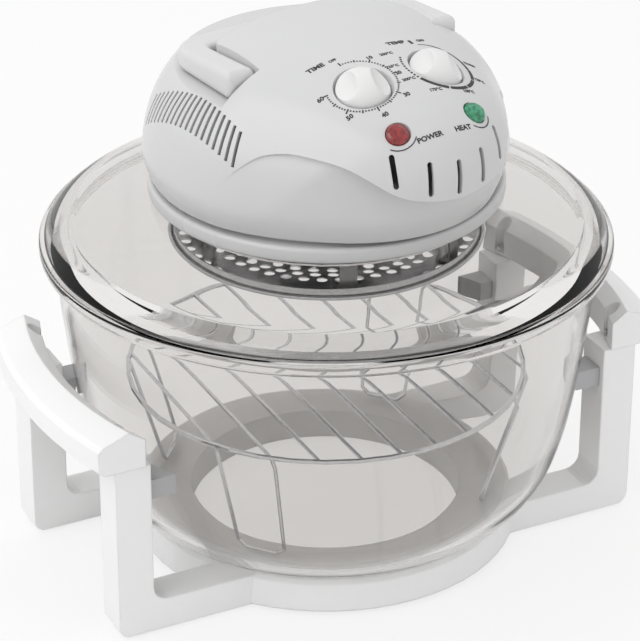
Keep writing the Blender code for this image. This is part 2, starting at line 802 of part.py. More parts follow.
def build_disc(lid):
    """The plate that clamps the lid glass and carries everything in the head."""
    low = DISC_BASE_Z
    top = DISC_TOP_Z
    disc = turned(
        "head_disc",
        [
            (SHAFT_HOLE_RADIUS, HEAD_BASE_Z),
            (MOTOR_RADIUS, HEAD_BASE_Z),
            (MOTOR_RADIUS + DISC_WALL, low + DISC_WALL),
            (DISC_PAN_RADIUS - DISC_WALL, low + DISC_WALL),
            (DISC_PAN_RADIUS, HEAD_BASE_Z + NECK_SPIGOT),
            (DISC_SEAT_RADIUS, HEAD_BASE_Z + NECK_SPIGOT),
            (DISC_SEAT_RADIUS, HEAD_BASE_Z + GAP),
            (DISC_NECK_RADIUS, HEAD_BASE_Z + GAP),
            (DISC_NECK_RADIUS, top),
            (DISC_RADIUS - DISC_ROUND, top),
            (DISC_RADIUS, top - DISC_ROUND),
            (DISC_RADIUS, low + DISC_ROUND / 2),
            (DISC_RADIUS - DISC_ROUND / 2, low),
            (SHAFT_HOLE_RADIUS, low),
        ],
        PARTS,
        closed=True,
    )
    return finish(disc, WHITE, lid)


def polar(radius, degrees):
    """A place round the head, counted from the front towards -X."""
    angle = math.radians(degrees)
    return -radius * math.sin(angle), -radius * math.cos(angle)


def nose_share(angle):
    """1 on the middle of the visor, easing to 0 where the nose meets the round body."""
    if abs(angle) >= NOSE_SPAN:
        return 0.0
    return math.cos(angle / NOSE_SPAN * math.pi / 2) ** 2


def between(low, high, share):
    return low + (high - low) * share


def visor_edge(angle):
    """The height at which the visor ends over the cheek and chin."""
    share = min(abs(angle) / CHEEK_SPAN, 1.0)
    for (start, low), (end, high) in zip(VISOR_EDGE_SHARES, VISOR_EDGE_SHARES[1:]):
        if share <= end:
            part = (share - start) / (end - start)
            return HEAD_BASE_Z + HEAD_RISE * between(low, high, part)
    return HEAD_BASE_Z + HEAD_RISE * VISOR_EDGE_SHARES[-1][1]


def body_radius(angle, height, inset=0.0):
    """The radius of the housing's outer skin, which is a superellipse down each meridian."""
    share = nose_share(angle)
    reach = between(HEAD_RADIUS, NOSE_REACH, share) - inset
    base = HEAD_BASE_Z + NOSE_RISE * share
    first = between(SIDE_POWERS[0], NOSE_POWERS[0], share)
    second = between(SIDE_POWERS[1], NOSE_POWERS[1], share)
    climb = min(max((height - base) / (HEAD_TOP - inset - base), 0.0), 1.0)
    return reach * (1 - climb**second) ** (1 / first)


def body_height(angle, radius):
    """The height of the housing's roof at a radius: the same superellipse, turned round."""
    share = nose_share(angle)
    reach = between(HEAD_RADIUS, NOSE_REACH, share)
    base = HEAD_BASE_Z + NOSE_RISE * share
    first = between(SIDE_POWERS[0], NOSE_POWERS[0], share)
    second = between(SIDE_POWERS[1], NOSE_POWERS[1], share)
    return base + (HEAD_TOP - base) * (1 - min(radius / reach, 1.0) ** first) ** (1 / second)


def roof_at(x, y):
    return body_height(math.atan2(-x, -y), math.hypot(x, y))


def cheek_depth(angle):
    """How far the cheek lies behind the visor's edge: all of the step in front, and nothing at its ends."""
    share = min(abs(angle) / CHEEK_SPAN, 1.0)
    fade = min((1 - share) / CHEEK_FADE_SHARE, 1.0)
    return CHEEK_STEP * fade**2 * (3 - 2 * fade)


def skirt_radius(angle, height, inset):
    """The radius below the visor's edge: cheek, chin and skirt, which all draw in towards the base."""
    share = nose_share(angle)
    chin = between(HEAD_RADIUS, CHIN_REACH, share) - inset
    radius = min(chin, body_radius(angle, height, inset)) - cheek_depth(angle)
    low = max(0.0, 1 - (height - HEAD_BASE_Z) / SKIRT_HEIGHT)
    return radius - SKIRT_TUCK * min(low, 1.0) ** 2


def meridian(angle, inset, base, roof_rows):
    """(radius, height) down one meridian, from under the crown to the base."""
    share = nose_share(angle)
    low = HEAD_BASE_Z + NOSE_RISE * share
    top = HEAD_TOP - inset
    reach = between(HEAD_RADIUS, NOSE_REACH, share) - inset
    first = between(SIDE_POWERS[0], NOSE_POWERS[0], share)
    second = between(SIDE_POWERS[1], NOSE_POWERS[1], share)
    edge = max(visor_edge(angle) + inset, low)
    climb = (edge - low) / (top - low)
    last = math.acos(climb ** (second / 2))
    rows = []
    for index in range(1, roof_rows + 1):
        turn = last * index / roof_rows
        radius = reach * math.sin(turn) ** (2 / first)
        height = low + (top - low) * math.cos(turn) ** (2 / second)
        rows.append((radius, height))
    for index in range(CHIN_ROWS + 1):
        start = edge - CHEEK_LIP
        height = start + (base - start) * index / CHIN_ROWS
        rows.append((skirt_radius(angle, height, inset), height))
    return rows


def head_columns(spacing):
    """The angles of the meridians, evenly round the head."""
    count = 2 * round(math.pi / spacing)
    return [2 * math.pi * index / count - math.pi for index in range(count)]


def head_solid(name, inset, base, collection, spacing, roof_rows):
    """The closed solid inside the skin, at an inset from it, down to the base."""
    bm = bmesh.new()
    crown = bm.verts.new((0, 0, HEAD_TOP - inset))
    columns = []
    for angle in head_columns(spacing):
        column = []
        for radius, height in meridian(angle, inset, base, roof_rows):
            x = -radius * math.sin(angle)
            y = -radius * math.cos(angle)
            column.append(bm.verts.new((x, y, height)))
        columns.append(column)
    for first, second in zip(columns, columns[1:] + columns[:1]):
        bm.faces.new((crown, first[0], second[0]))
        for index in range(len(first) - 1):
            bm.faces.new((first[index], first[index + 1], second[index + 1], second[index]))
    # Flat triangles keep the Booleans exact, because the quads of a loft are twisted.
    bmesh.ops.triangulate(bm, faces=bm.faces)
    bm.faces.new([column[-1] for column in columns])
    return add_bmesh(name, bm, collection)


def handle_recess(name, grow):
    """The space that is cut for the carry handle: a U round the raised block, open above."""
    inner = HANDLE_INNER_X - HANDLE_SIDE_GAP - grow
    front = HANDLE_PIVOT_Y - HANDLE_HEIGHT / 2 - HANDLE_END_GAP - grow
    outer = NOSE_REACH
    back = HANDLE_BLOCK_Y - grow
    outline = [
        (inner, front),
        (outer, front),
        (outer, outer),
        (-outer, outer),
        (-outer, front),
        (-inner, front),
        (-inner, back),
        (inner, back),
    ]
    height = HEAD_TOP - HANDLE_FLOOR_Z + OVERRUN + grow
    recess = plate(name, [outline], height, CUTTERS)
    bm = bmesh.new()
    bm.from_mesh(recess.data)
    bmesh.ops.translate(bm, vec=(0, 0, HANDLE_FLOOR_Z - grow + height / 2), verts=bm.verts)
    bmesh.ops.recalc_face_normals(bm, faces=bm.faces)
    bm.to_mesh(recess.data)
    bm.free()
    return recess


def dial_matrix(side):
    """The frame of a dial: on the roof, with Z out along the dial's axis."""
    x = side * DIAL_X
    place = Matrix.Translation((x, DIAL_Y, roof_at(x, DIAL_Y)))
    lean = Matrix.Rotation(side * DIAL_LEAN, 4, "Y")
    return place @ lean @ Matrix.Rotation(DIAL_TILT, 4, "X")


def lamp_matrix(side):
    x = side * LAMP_X
    place = Matrix.Translation((x, LAMP_Y, roof_at(x, LAMP_Y)))
    return place @ Matrix.Rotation(LAMP_TILT, 4, "X")


def dish_cutter(name, grow):
    above = DISH_OVERRUN
    slope = (DISH_RADIUS - DISH_FLOOR_RADIUS) / DISH_DEPTH
    profile = [
        (0, above),
        (DISH_RADIUS + slope * above + grow, above),
        (DISH_FLOOR_RADIUS + grow, -DISH_DEPTH - grow),
        (0, -DISH_DEPTH - grow),
    ]
    return turned(name, profile, CUTTERS, steps=24)


def build_housing(lid):
    """The moulded head: a domed roof, a visor that overhangs the chin, and hollow cheeks."""
    housing = head_solid("head_housing", 0.0, HEAD_BASE_Z, PARTS, HEAD_COLUMN, ROOF_ROWS)
    housing.parent = lid
    for made in (groove_cutter(), vent_cutter()):
        made.parent = lid
        boolean(housing, cutter(made))
    recess = handle_recess("handle_recess", 0.0)
    recess.parent = lid
    boolean(housing, cutter(recess))
    low = HEAD_BASE_Z - OVERRUN
    cavity = head_solid("head_cavity", HEAD_WALL, low, CUTTERS, CAVITY_COLUMN, CAVITY_ROWS)
    cavity.parent = lid
    around = handle_recess("recess_skin", HEAD_WALL)
    around.parent = lid
    boolean(cavity, cutter(around))
    for side in (-1, 1):
        dish = dish_cutter("dial_dish", 0.0)
        dish.parent = lid
        dish.matrix_local = dial_matrix(side)
        boolean(housing, cutter(dish))
        skin = dish_cutter("dish_skin", HEAD_WALL)
        skin.parent = lid
        skin.matrix_local = dial_matrix(side)
        boolean(cavity, cutter(skin))
    boolean(housing, cutter(cavity))
    for side in (-1, 1):
        hole = rod(
            "spindle_hole",
            SPINDLE_RADIUS + SPINDLE_CLEARANCE,
            (0, 0, -DISH_DEPTH - HEAD_WALL - OVERRUN),
            (0, 0, -DISH_DEPTH + OVERRUN),
            CUTTERS,
            steps=16,
        )
        hole.parent = lid
        hole.matrix_local = dial_matrix(side)
        boolean(housing, cutter(hole))
        lens = rod(
            "lens_hole",
            LENS_RADIUS + GAP,
            (0, 0, -LENS_DEPTH),
            (0, 0, LENS_DEPTH),
            CUTTERS,
        )
        lens.parent = lid
        lens.matrix_local = lamp_matrix(side)
        boolean(housing, cutter(lens))
        pin = rod(
            "pin_hole",
            PIN_RADIUS + GAP,
            (side * (pin_inner_x() - GAP), HANDLE_PIVOT_Y, HANDLE_PIVOT_Z),
            (side * (HANDLE_INNER_X + OVERRUN), HANDLE_PIVOT_Y, HANDLE_PIVOT_Z),
            CUTTERS,
            steps=16,
        )
        pin.parent = lid
        boolean(housing, cutter(pin))
    plunger = rod(
        "plunger_hole",
        PLUNGER_RADIUS + GAP,
        (SWITCH_X, switch_y(), HANDLE_FLOOR_Z - HEAD_WALL - OVERRUN),
        (SWITCH_X, switch_y(), HANDLE_FLOOR_Z + OVERRUN),
        CUTTERS,
        steps=16,
    )
    plunger.parent = lid
    boolean(housing, cutter(plunger))
    gland = rod(
        "gland_hole",
        GLAND_RADIUS + GAP,
        (0, HEAD_RADIUS - GLAND_HOLE_DEPTH, GLAND_Z),
        (0, HEAD_RADIUS + OVERRUN, GLAND_Z),
        CUTTERS,
    )
    gland.parent = lid
    boolean(housing, cutter(gland))
    return finish(housing, WHITE, lid)


def pin_inner_x():
    return HANDLE_INNER_X + HANDLE_ARM * PIN_ARM_SHARE - PIN_LENGTH


def switch_y():
    return HANDLE_BAR_Y + HANDLE_BAR / 2


def vent_cutter():
    """All the vent slots of both sides, each along its meridian, square to the skin."""
    bm = bmesh.new()
    for side in (-1, 1):
        for index in range(VENT_COUNT):
            angle = side * between(VENT_FIRST, VENT_LAST, index / (VENT_COUNT - 1))
            fall = ((abs(angle) - VENT_CREST) / VENT_DROP_SPAN) ** 2
            height = VENT_Z - VENT_DROP * fall
            made = bmesh.ops.create_cube(bm, size=1.0)["verts"]
            bmesh.ops.scale(bm, vec=(VENT_DEPTH * 2, VENT_WIDTH, VENT_LENGTH), verts=made)
            radius = body_radius(angle, height)
            higher = body_radius(angle, height + SLOPE_PROBE)
            lean = math.atan2(radius - higher, SLOPE_PROBE)
            turn = Matrix.Rotation(-lean, 4, "Y")
            place = Matrix.Translation((radius, 0, height))
            spin = Matrix.Rotation(-math.pi / 2 - angle, 4, "Z")
            bmesh.ops.transform(bm, matrix=spin @ place @ turn, verts=made)
    return add_bmesh("vent_slots", bm, CUTTERS)


def groove_cutter():
    """Five upright flutes across the front of the visor, each laid along the skin."""
    bm = bmesh.new()
    for index in range(GROOVE_COUNT):
        step = index - (GROOVE_COUNT - 1) / 2
        x = step * GROOVE_PITCH
        height = GROOVE_Z + GROOVE_CLIMB * abs(step)
        half = GROOVE_LENGTH / 2
        low = skin_point(x, height - half)
        high = skin_point(x, height + half)
        up = (high - low).normalized()
        across = skin_point(x + GROOVE_WIDTH, height) - skin_point(x - GROOVE_WIDTH, height)
        inward = up.cross(across.normalized()).normalized()
        frame = Matrix((inward.cross(up), inward, up)).transposed().to_4x4()
        depth = GROOVE_DEPTH + GROOVE_OUTSIDE
        made = bmesh.ops.create_cube(bm, size=1.0)["verts"]
        bmesh.ops.scale(bm, vec=(GROOVE_WIDTH, depth, GROOVE_LENGTH), verts=made)
        bmesh.ops.translate(bm, vec=(0, GROOVE_DEPTH - depth / 2, 0), verts=made)
        place = Matrix.Translation((low + high) / 2)
        bmesh.ops.transform(bm, matrix=place @ frame, verts=made)
    return add_bmesh("visor_grooves", bm, CUTTERS)


def skin_point(x, height):
    """The place on the front of the visor at a distance from its middle and a height."""
    near = 0.0
    far = NOSE_REACH
    for _ in range(REACH_STEPS):
        reach = (near + far) / 2
        radius = body_radius(math.atan2(-x, reach), height)
        if math.hypot(x, reach) < radius:
            near = reach
        else:
            far = reach
    return Vector((x, -near, height))


def build_knob(name, side, lid):
    """A dome with a scoop out of each flank, which leaves a broad grip across it."""
    low = -DISH_DEPTH + GAP
    rise = KNOB_HEIGHT - KNOB_EDGE
    profile = [(0, low + KNOB_HEIGHT)]
    for index in range(1, KNOB_ROWS):
        turn = math.pi / 2 * index / KNOB_ROWS
        profile.append((KNOB_RADIUS * math.sin(turn), low + KNOB_EDGE + rise * math.cos(turn)))
    profile += [(KNOB_RADIUS, low + KNOB_EDGE), (KNOB_RADIUS, low), (0, low)]
    knob = turned(name, profile, PARTS, steps=24)
    bm = bmesh.new()
    for flank in (-1, 1):
        made = bmesh.ops.create_uvsphere(bm, u_segments=14, v_segments=9, radius=1.0)["verts"]
        bmesh.ops.scale(bm, vec=(KNOB_SCOOP_X, KNOB_SCOOP_Y, KNOB_SCOOP_Z), verts=made)
        x = flank * (KNOB_BAR_HALF_WIDTH + KNOB_SCOOP_X)
        bmesh.ops.translate(bm, vec=(x, 0, low + KNOB_EDGE + KNOB_SCOOP_Z), verts=made)
    bmesh.ops.rotate(bm, matrix=Matrix.Rotation(KNOB_TURN, 3, "Z"), verts=bm.verts)
    scoops = add_bmesh(name + "_scoops", bm, CUTTERS)
    boolean(knob, cutter(scoops))
    spindle = rod(
        name + "_spindle",
        SPINDLE_RADIUS,
        (0, 0, -DISH_DEPTH - SPINDLE_LENGTH),
        (0, 0, -DISH_DEPTH + KNOB_EDGE / 2),
        CUTTERS,
        steps=16,
    )
    boolean(knob, cutter(spindle), "UNION")
    for made in (knob, scoops, spindle):
        made.parent = lid
        made.matrix_local = dial_matrix(side)
    return finish(knob, WHITE, lid)


def build_dial_bodies(lid):
    """The clockwork timer and the thermostat, each under its knob with a hole for the spindle."""
    for name, side, radius, depth in (
        ("timer_body", -1, TIMER_RADIUS, TIMER_DEPTH),
        ("thermostat_body", 1, THERMOSTAT_RADIUS, THERMOSTAT_DEPTH),
    ):
        top = -DISH_DEPTH - HEAD_WALL - DIAL_BODY_DROP
        hole = SPINDLE_RADIUS + GAP
        well = -DISH_DEPTH - SPINDLE_LENGTH - GAP
        body = turned(
            name,
            [
                (0, well),
                (hole, well),
                (hole, top),
                (radius, top),
                (radius, top - depth),
                (0, top - depth),
            ],
            PARTS,
            steps=24,
        )
        body.parent = lid
        body.matrix_local = dial_matrix(side)
        finish(body, STEEL, lid)


def build_lens(name, side, surface, lid):
    profile = [(0, LENS_DOME)]
    for index in range(1, 4):
        turn = math.pi / 2 * index / 3
        profile.append((LENS_RADIUS * math.sin(turn), LENS_DOME * math.cos(turn)))
    profile += [(LENS_RADIUS, -LENS_DEPTH), (0, -LENS_DEPTH)]
    lens = turned(name, profile, PARTS, steps=24)
    lens.parent = lid
    lens.matrix_local = lamp_matrix(side)
    return finish(lens, surface, lid)


def build_handle(lid):
    """The U-shaped bail that folds down round the raised block."""
    inner = HANDLE_INNER_X
    outer = HANDLE_INNER_X + HANDLE_ARM
    near = HANDLE_BAR_Y
    far = HANDLE_BAR_Y + HANDLE_BAR
    front = HANDLE_PIVOT_Y - HANDLE_HEIGHT / 2
    half = [(outer, front)]
    half += arc((outer - HANDLE_CORNER, far - HANDLE_CORNER), HANDLE_CORNER, 0, 90, 6)
    back = mirrored(half)
    inside = [(-inner, front)]
    inside += arc((-inner + HANDLE_INNER_CORNER, near - HANDLE_INNER_CORNER), HANDLE_INNER_CORNER, 180, 90, 3)
    inside += mirrored(inside)
    outline = half + back + inside
    handle = plate("carry_handle", [outline], HANDLE_HEIGHT, PARTS)
    bm = bmesh.new()
    bm.from_mesh(handle.data)
    bmesh.ops.recalc_face_normals(bm, faces=bm.faces)
    for vert in bm.verts:
        if vert.co.z > 0:
            vert.co.z -= HANDLE_FALL * (vert.co.y - front) / (far - front)
    bmesh.ops.translate(bm, vec=(0, -HANDLE_PIVOT_Y, 0), verts=bm.verts)
    bm.to_mesh(handle.data)
    bm.free()
    bevel(handle, HANDLE_EDGE)
    for side in (-1, 1):
        hole = rod(
            "handle_bore",
            PIN_RADIUS + GAP,
            (side * (inner - OVERRUN), 0, 0),
            (side * (pin_inner_x() + PIN_LENGTH + GAP), 0, 0),
            CUTTERS,
            steps=16,
        )
        hole.parent = lid
        hole.location = (0, HANDLE_PIVOT_Y, HANDLE_PIVOT_Z)
        boolean(handle, cutter(hole))
    round_ends = end_cutter()
    round_ends.parent = lid
    round_ends.location = (0, HANDLE_PIVOT_Y, HANDLE_PIVOT_Z)
    boolean(handle, cutter(round_ends))
    handle.parent = lid
    handle.location = (0, HANDLE_PIVOT_Y, HANDLE_PIVOT_Z)
    return finish(handle, WHITE, lid)


def end_cutter():
    """What is taken off the arms' front ends, so that they turn about the pins in the recess."""
    radius = HANDLE_HEIGHT / 2
    reach = radius + OVERRUN
    outline = [(-reach, -reach), (0, -reach), (0, -radius)]
    outline += arc((0, 0), radius, 270, 90, 10)[1:]
    outline += [(0, reach), (-reach, reach)]
    made = plate("arm_end_cutter", [outline], 2 * (HANDLE_INNER_X + HANDLE_ARM + OVERRUN), CUTTERS)
    bm = bmesh.new()
    bm.from_mesh(made.data)
    # The outline's X becomes Y, its Y becomes Z, and its thickness runs along X.
    turn = Matrix(((0, 0, 1, 0), (1, 0, 0, 0), (0, 1, 0, 0), (0, 0, 0, 1)))
    bm.transform(turn)
    bmesh.ops.recalc_face_normals(bm, faces=bm.faces)
    bm.to_mesh(made.data)
    bm.free()
    return made


def build_pins(lid):
    for name, side in (("hinge_pin_left", -1), ("hinge_pin_right", 1)):
        start = (side * pin_inner_x(), HANDLE_PIVOT_Y, HANDLE_PIVOT_Z)
        end = (side * (pin_inner_x() + PIN_LENGTH), HANDLE_PIVOT_Y, HANDLE_PIVOT_Z)
        finish(rod(name, PIN_RADIUS, start, end, PARTS, steps=16), STEEL, lid)


def build_switch(lid):
    """The safety switch under the handle's bar, with the plunger that the bar presses."""
    y = switch_y()
    width, depth, height = SWITCH_SIZE
    top = HANDLE_FLOOR_Z - HEAD_WALL - GAP
    body = box("safety_switch", SWITCH_SIZE, (SWITCH_X, y, top - height / 2), PARTS)
    well = rod(
        "switch_well",
        PLUNGER_RADIUS + GAP,
        (SWITCH_X, y, HANDLE_FLOOR_Z - PLUNGER_LENGTH),
        (SWITCH_X, y, top + OVERRUN),
        CUTTERS,
        steps=16,
    )
    well.parent = lid
    boolean(body, cutter(well))
    finish(body, BLACK, lid)
    low = HANDLE_FLOOR_Z - PLUNGER_LENGTH + GAP
    plunger = rod(
        "switch_plunger",
        PLUNGER_RADIUS,
        (SWITCH_X, y, low),
        (SWITCH_X, y, HANDLE_BASE_Z - GAP),
        PARTS,
        steps=16,
    )
    finish(plunger, BLACK, lid)


def build_motor(lid):
    low = MOTOR_BASE_Z
    top = low + MOTOR_HEIGHT
    bore = SHAFT_RADIUS + SHAFT_CLEARANCE
    motor = turned(
        "motor",
        [
            (bore, top + MOTOR_CAP_HEIGHT),
            (MOTOR_CAP_RADIUS, top + MOTOR_CAP_HEIGHT),
            (MOTOR_CAP_RADIUS, top),
            (MOTOR_RADIUS, top),
            (MOTOR_RADIUS, low),
            (bore, low),
        ],
        PARTS,
        closed=True,
        steps=24,
    )
    finish(motor, COPPER, lid)
    low_end = SHIELD_TOP_Z - SHAFT_BELOW
    shaft = rod("motor_shaft", SHAFT_RADIUS, (0, 0, low_end), (0, 0, SHAFT_TOP_Z), PARTS, steps=16)
    finish(shaft, STEEL, lid)


def build_fan(name, radius, blade_height, base, plate_radius, surface, lid):
    """A hub on the shaft with radial blades standing on a thin backing disc."""
    bore = SHAFT_RADIUS + GAP
    fan = turned(
        name,
        [
            (bore, base + FAN_HUB_HEIGHT),
            (FAN_HUB_RADIUS, base + FAN_HUB_HEIGHT),
            (FAN_HUB_RADIUS, base + FAN_PLATE),
            (plate_radius, base + FAN_PLATE),
            (plate_radius, base),
            (bore, base),
        ],
        PARTS,
        closed=True,
        steps=24,
    )
    bm = bmesh.new()
    for index in range(FAN_BLADES):
        made = bmesh.ops.create_cube(bm, size=1.0)["verts"]
        start = FAN_HUB_RADIUS - FAN_BLADE
        size = (radius - start, FAN_BLADE, blade_height - FAN_PLATE / 2)
        bmesh.ops.scale(bm, vec=size, verts=made)
        centre = (start + (radius - start) / 2, 0, base + FAN_PLATE / 2 + size[2] / 2)
        bmesh.ops.translate(bm, vec=centre, verts=made)
        spin = Matrix.Rotation(2 * math.pi * index / FAN_BLADES, 4, "Z")
        bmesh.ops.transform(bm, matrix=spin, verts=made)
    blades = add_bmesh(name + "_blades", bm, CUTTERS)
    blades.parent = lid
    boolean(fan, cutter(blades), "UNION")
    return finish(fan, surface, lid)


def build_cooling_fan(lid):
    """The plastic fan on top of the motor, with a plate as wide as its blades."""
    base = MOTOR_BASE_Z + MOTOR_HEIGHT + MOTOR_CAP_HEIGHT + GAP
    build_fan("cooling_fan", COOLING_RADIUS, COOLING_BLADE_HEIGHT, base, COOLING_RADIUS, WHITE, lid)


def build_convection_fan(lid):
    """The steel fan below the heat shield, with blades that reach past its plate."""
    base = SHIELD_TOP_Z - SHAFT_BELOW + GAP
    height = CONVECTION_BLADE_HEIGHT
    build_fan("convection_fan", CONVECTION_RADIUS, height, base, CONVECTION_PLATE_RADIUS, STEEL, lid)


def build_shield(lid):
    """The pressed steel pan under the disc: a flange under the glass and a plate inside its hole."""
    top = SHIELD_TOP_Z
    flange = top - SHIELD_DROP
    inner = LID_HOLE_RADIUS - SHIELD_CLEARANCE
    bore = SHAFT_HOLE_RADIUS
    shield = turned(
        "heat_shield",
        [
            (bore, top),
            (inner, top),
            (inner, flange),
            (SHIELD_RADIUS, flange),
            (SHIELD_RADIUS, flange - SHIELD_SHEET),
            (inner - SHIELD_SHEET, flange - SHIELD_SHEET),
            (inner - SHIELD_SHEET, top - SHIELD_SHEET),
            (bore, top - SHIELD_SHEET),
        ],
        PARTS,
        closed=True,
    )
    return finish(shield, CHROME, lid)


def build_heater(lid):
    """The ring-shaped halogen tube, with its ends turned up into two ceramic holders."""
    z = SHIELD_TOP_Z - TUBE_DROP
    start = math.pi + TUBE_GAP_ANGLE
    end = 3 * math.pi - TUBE_GAP_ANGLE
    points = []
    for index in range(TUBE_POINTS + 1):
        angle = between(start, end, index / TUBE_POINTS)
        points.append((-TUBE_RING_RADIUS * math.sin(angle), -TUBE_RING_RADIUS * math.cos(angle), z))
    ends = (points[0], points[-1])
    rise = SHIELD_TOP_Z - SHIELD_SHEET - GAP - HOLDER_HEIGHT - GAP
    route = [(*ends[0][:2], rise), *points, (*ends[1][:2], rise)]
    finish(tube("halogen_tube", route, TUBE_RADIUS, PARTS), QUARTZ, lid)
    for name, (x, y, _) in zip(("tube_holder_left", "tube_holder_right"), ends):
        centre = (x, y, rise + GAP + HOLDER_HEIGHT / 2)
        holder = box(name, (HOLDER_SIZE, HOLDER_SIZE, HOLDER_HEIGHT), centre, PARTS)
        bevel(holder, HOLDER_EDGE, segments=2)
        finish(holder, CERAMIC, lid)


def build_guard(lid):
    """The perforated guard: a flat plate with rows of holes inside a rolled bead."""
    plate_z = GUARD_Z - GUARD_SINK
    inner = GUARD_RADIUS - GUARD_BEAD
    outlines = [circle((0, 0), inner + GUARD_SHEET_SINK, TURN_STEPS)]
    for share, count in GUARD_ROW_SHARES:
        for index in range(count):
            angle = 360.0 * (index + share / 2) / count
            centre = polar(GUARD_RADIUS * share, angle)
            last = angle + 360.0 * (GUARD_HOLE_STEPS - 1) / GUARD_HOLE_STEPS
            outlines.append(arc(centre, GUARD_HOLE_RADIUS, angle, last, GUARD_HOLE_STEPS - 1))
    sheet = plate("guard_sheet", outlines, GUARD_SHEET, CUTTERS)
    sheet.location.z = plate_z
    sheet.parent = lid
    bead = turned(
        "guard_plate",
        [
            (inner + GUARD_BEAD_ROUND, GUARD_Z),
            (GUARD_RADIUS - GUARD_BEAD_ROUND, GUARD_Z),
            (GUARD_RADIUS, GUARD_Z - GUARD_BEAD_FOOT),
            (GUARD_RADIUS, GUARD_Z - GUARD_BEAD_HEIGHT),
            (GUARD_RADIUS - GUARD_BEAD_ROUND, GUARD_Z - GUARD_BEAD_HEIGHT - GUARD_BEAD_FOOT),
            (inner, GUARD_Z - GUARD_BEAD_HEIGHT - GUARD_BEAD_FOOT),
            (inner, GUARD_Z - GUARD_BEAD_FOOT),
        ],
        PARTS,
        closed=True,
    )
    boolean(bead, cutter(sheet), "UNION")
    return finish(bead, CHROME, lid)


def build_brackets(lid):
    """Four bent strips that hang the guard from the heat shield."""
    low = GUARD_Z - GUARD_SINK + GUARD_SHEET / 2 + GAP
    top = SHIELD_TOP_Z - SHIELD_SHEET - GAP
    radius = BRACKET_RADIUS
    sheet = BRACKET_SHEET
    foot = BRACKET_FOOT
    outline = [
        (radius, top),
        (radius - foot, top),
        (radius - foot, top - sheet),
        (radius - sheet, top - sheet),
        (radius - sheet, low + sheet),
        (radius - foot, low + sheet),
        (radius - foot, low),
        (radius, low),
    ]
    for number, angle in enumerate(BRACKET_ANGLES, 1):
        strip = plate(f"guard_bracket_{number}", [outline], BRACKET_WIDTH, PARTS)
        bm = bmesh.new()
        bm.from_mesh(strip.data)
        stand = Matrix.Rotation(math.pi / 2, 4, "X")
        spin = Matrix.Rotation(-math.pi / 2 - math.radians(angle), 4, "Z")
        bm.transform(spin @ stand)
        bmesh.ops.recalc_face_normals(bm, faces=bm.faces)
        bm.to_mesh(strip.data)
        bm.free()
        finish(strip, STEEL, lid)


def screw(name, place, head_z):
    """A pan-head screw with its head on top of what it holds."""
    profile = [
        (0, SCREW_HEAD_HEIGHT),
        (SCREW_HEAD_RADIUS - SCREW_HEAD_ROUND, SCREW_HEAD_HEIGHT),
        (SCREW_HEAD_RADIUS, SCREW_HEAD_HEIGHT - SCREW_HEAD_ROUND),
        (SCREW_HEAD_RADIUS, 0),
        (SCREW_RADIUS, 0),
        (SCREW_RADIUS, -SCREW_LENGTH),
        (0, -SCREW_LENGTH),
    ]
    made = turned(name, profile, PARTS, steps=12)
    made.location = (*place, head_z)
    return finish(made, STEEL)


def build_screws():
    """The four screws that go down through the grips into the posts."""
    number = 0
    for side in (-1, 1):
        for end in (-1, 1):
            number += 1
            seat = GRIP_BASE_Z + SCREW_HEAD_HEIGHT + GAP
            screw(f"grip_screw_{number}", screw_place(side, end), seat)


def build_gland(lid):
    """The cable inlet at the back of the housing: a flanged bush with its bore."""
    reach = body_radius(math.pi, GLAND_Z)
    length = HEAD_WALL + GLAND_STANDS_OUT + OVERRUN
    profile = [
        (GLAND_HOLE_RADIUS, GLAND_STANDS_OUT),
        (GLAND_FLANGE - GLAND_CHAMFER, GLAND_STANDS_OUT),
        (GLAND_FLANGE, GLAND_STANDS_OUT - GLAND_CHAMFER),
        (GLAND_FLANGE, GLAND_SEAT),
        (GLAND_RADIUS, GLAND_SEAT),
        (GLAND_RADIUS, -length),
        (GLAND_HOLE_RADIUS, -length),
    ]
    gland = turned("cable_gland", profile, PARTS, closed=True, steps=24)
    gland.parent = lid
    place = Matrix.Translation((0, reach, GLAND_Z))
    gland.matrix_local = place @ Matrix.Rotation(-math.pi / 2, 4, "X")
    return finish(gland, BLACK, lid)


def build():
    lid = empty("lid_frame", Matrix.Rotation(LID_TURN, 4, "Z"))
    build_stand()
    build_grip("left_grip", -1)
    build_grip("right_grip", 1)
    build_feet_pads()
    build_bowl()
    build_rack()
    build_lid_glass(lid)
    build_disc(lid)
    build_housing(lid)
    build_handle(lid)
    build_pins(lid)
    build_switch(lid)
    build_knob("timer_knob", -1, lid)
    build_knob("thermostat_knob", 1, lid)
    build_dial_bodies(lid)
    build_lens("power_lamp", -1, RED, lid)
    build_lens("heat_lamp", 1, GREEN, lid)
    build_motor(lid)
    build_cooling_fan(lid)
    build_convection_fan(lid)
    build_shield(lid)
    build_heater(lid)
    build_guard(lid)
    build_brackets(lid)
    build_screws()
    build_gland(lid)


build()
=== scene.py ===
"""The looks of the halogen oven.

Smooth glass, the moulded head, the perforated guard, printed dials, light and camera.
"""

import math

import bmesh
import bpy
from mathutils import Matrix, Vector
from mathutils.bvhtree import BVHTree


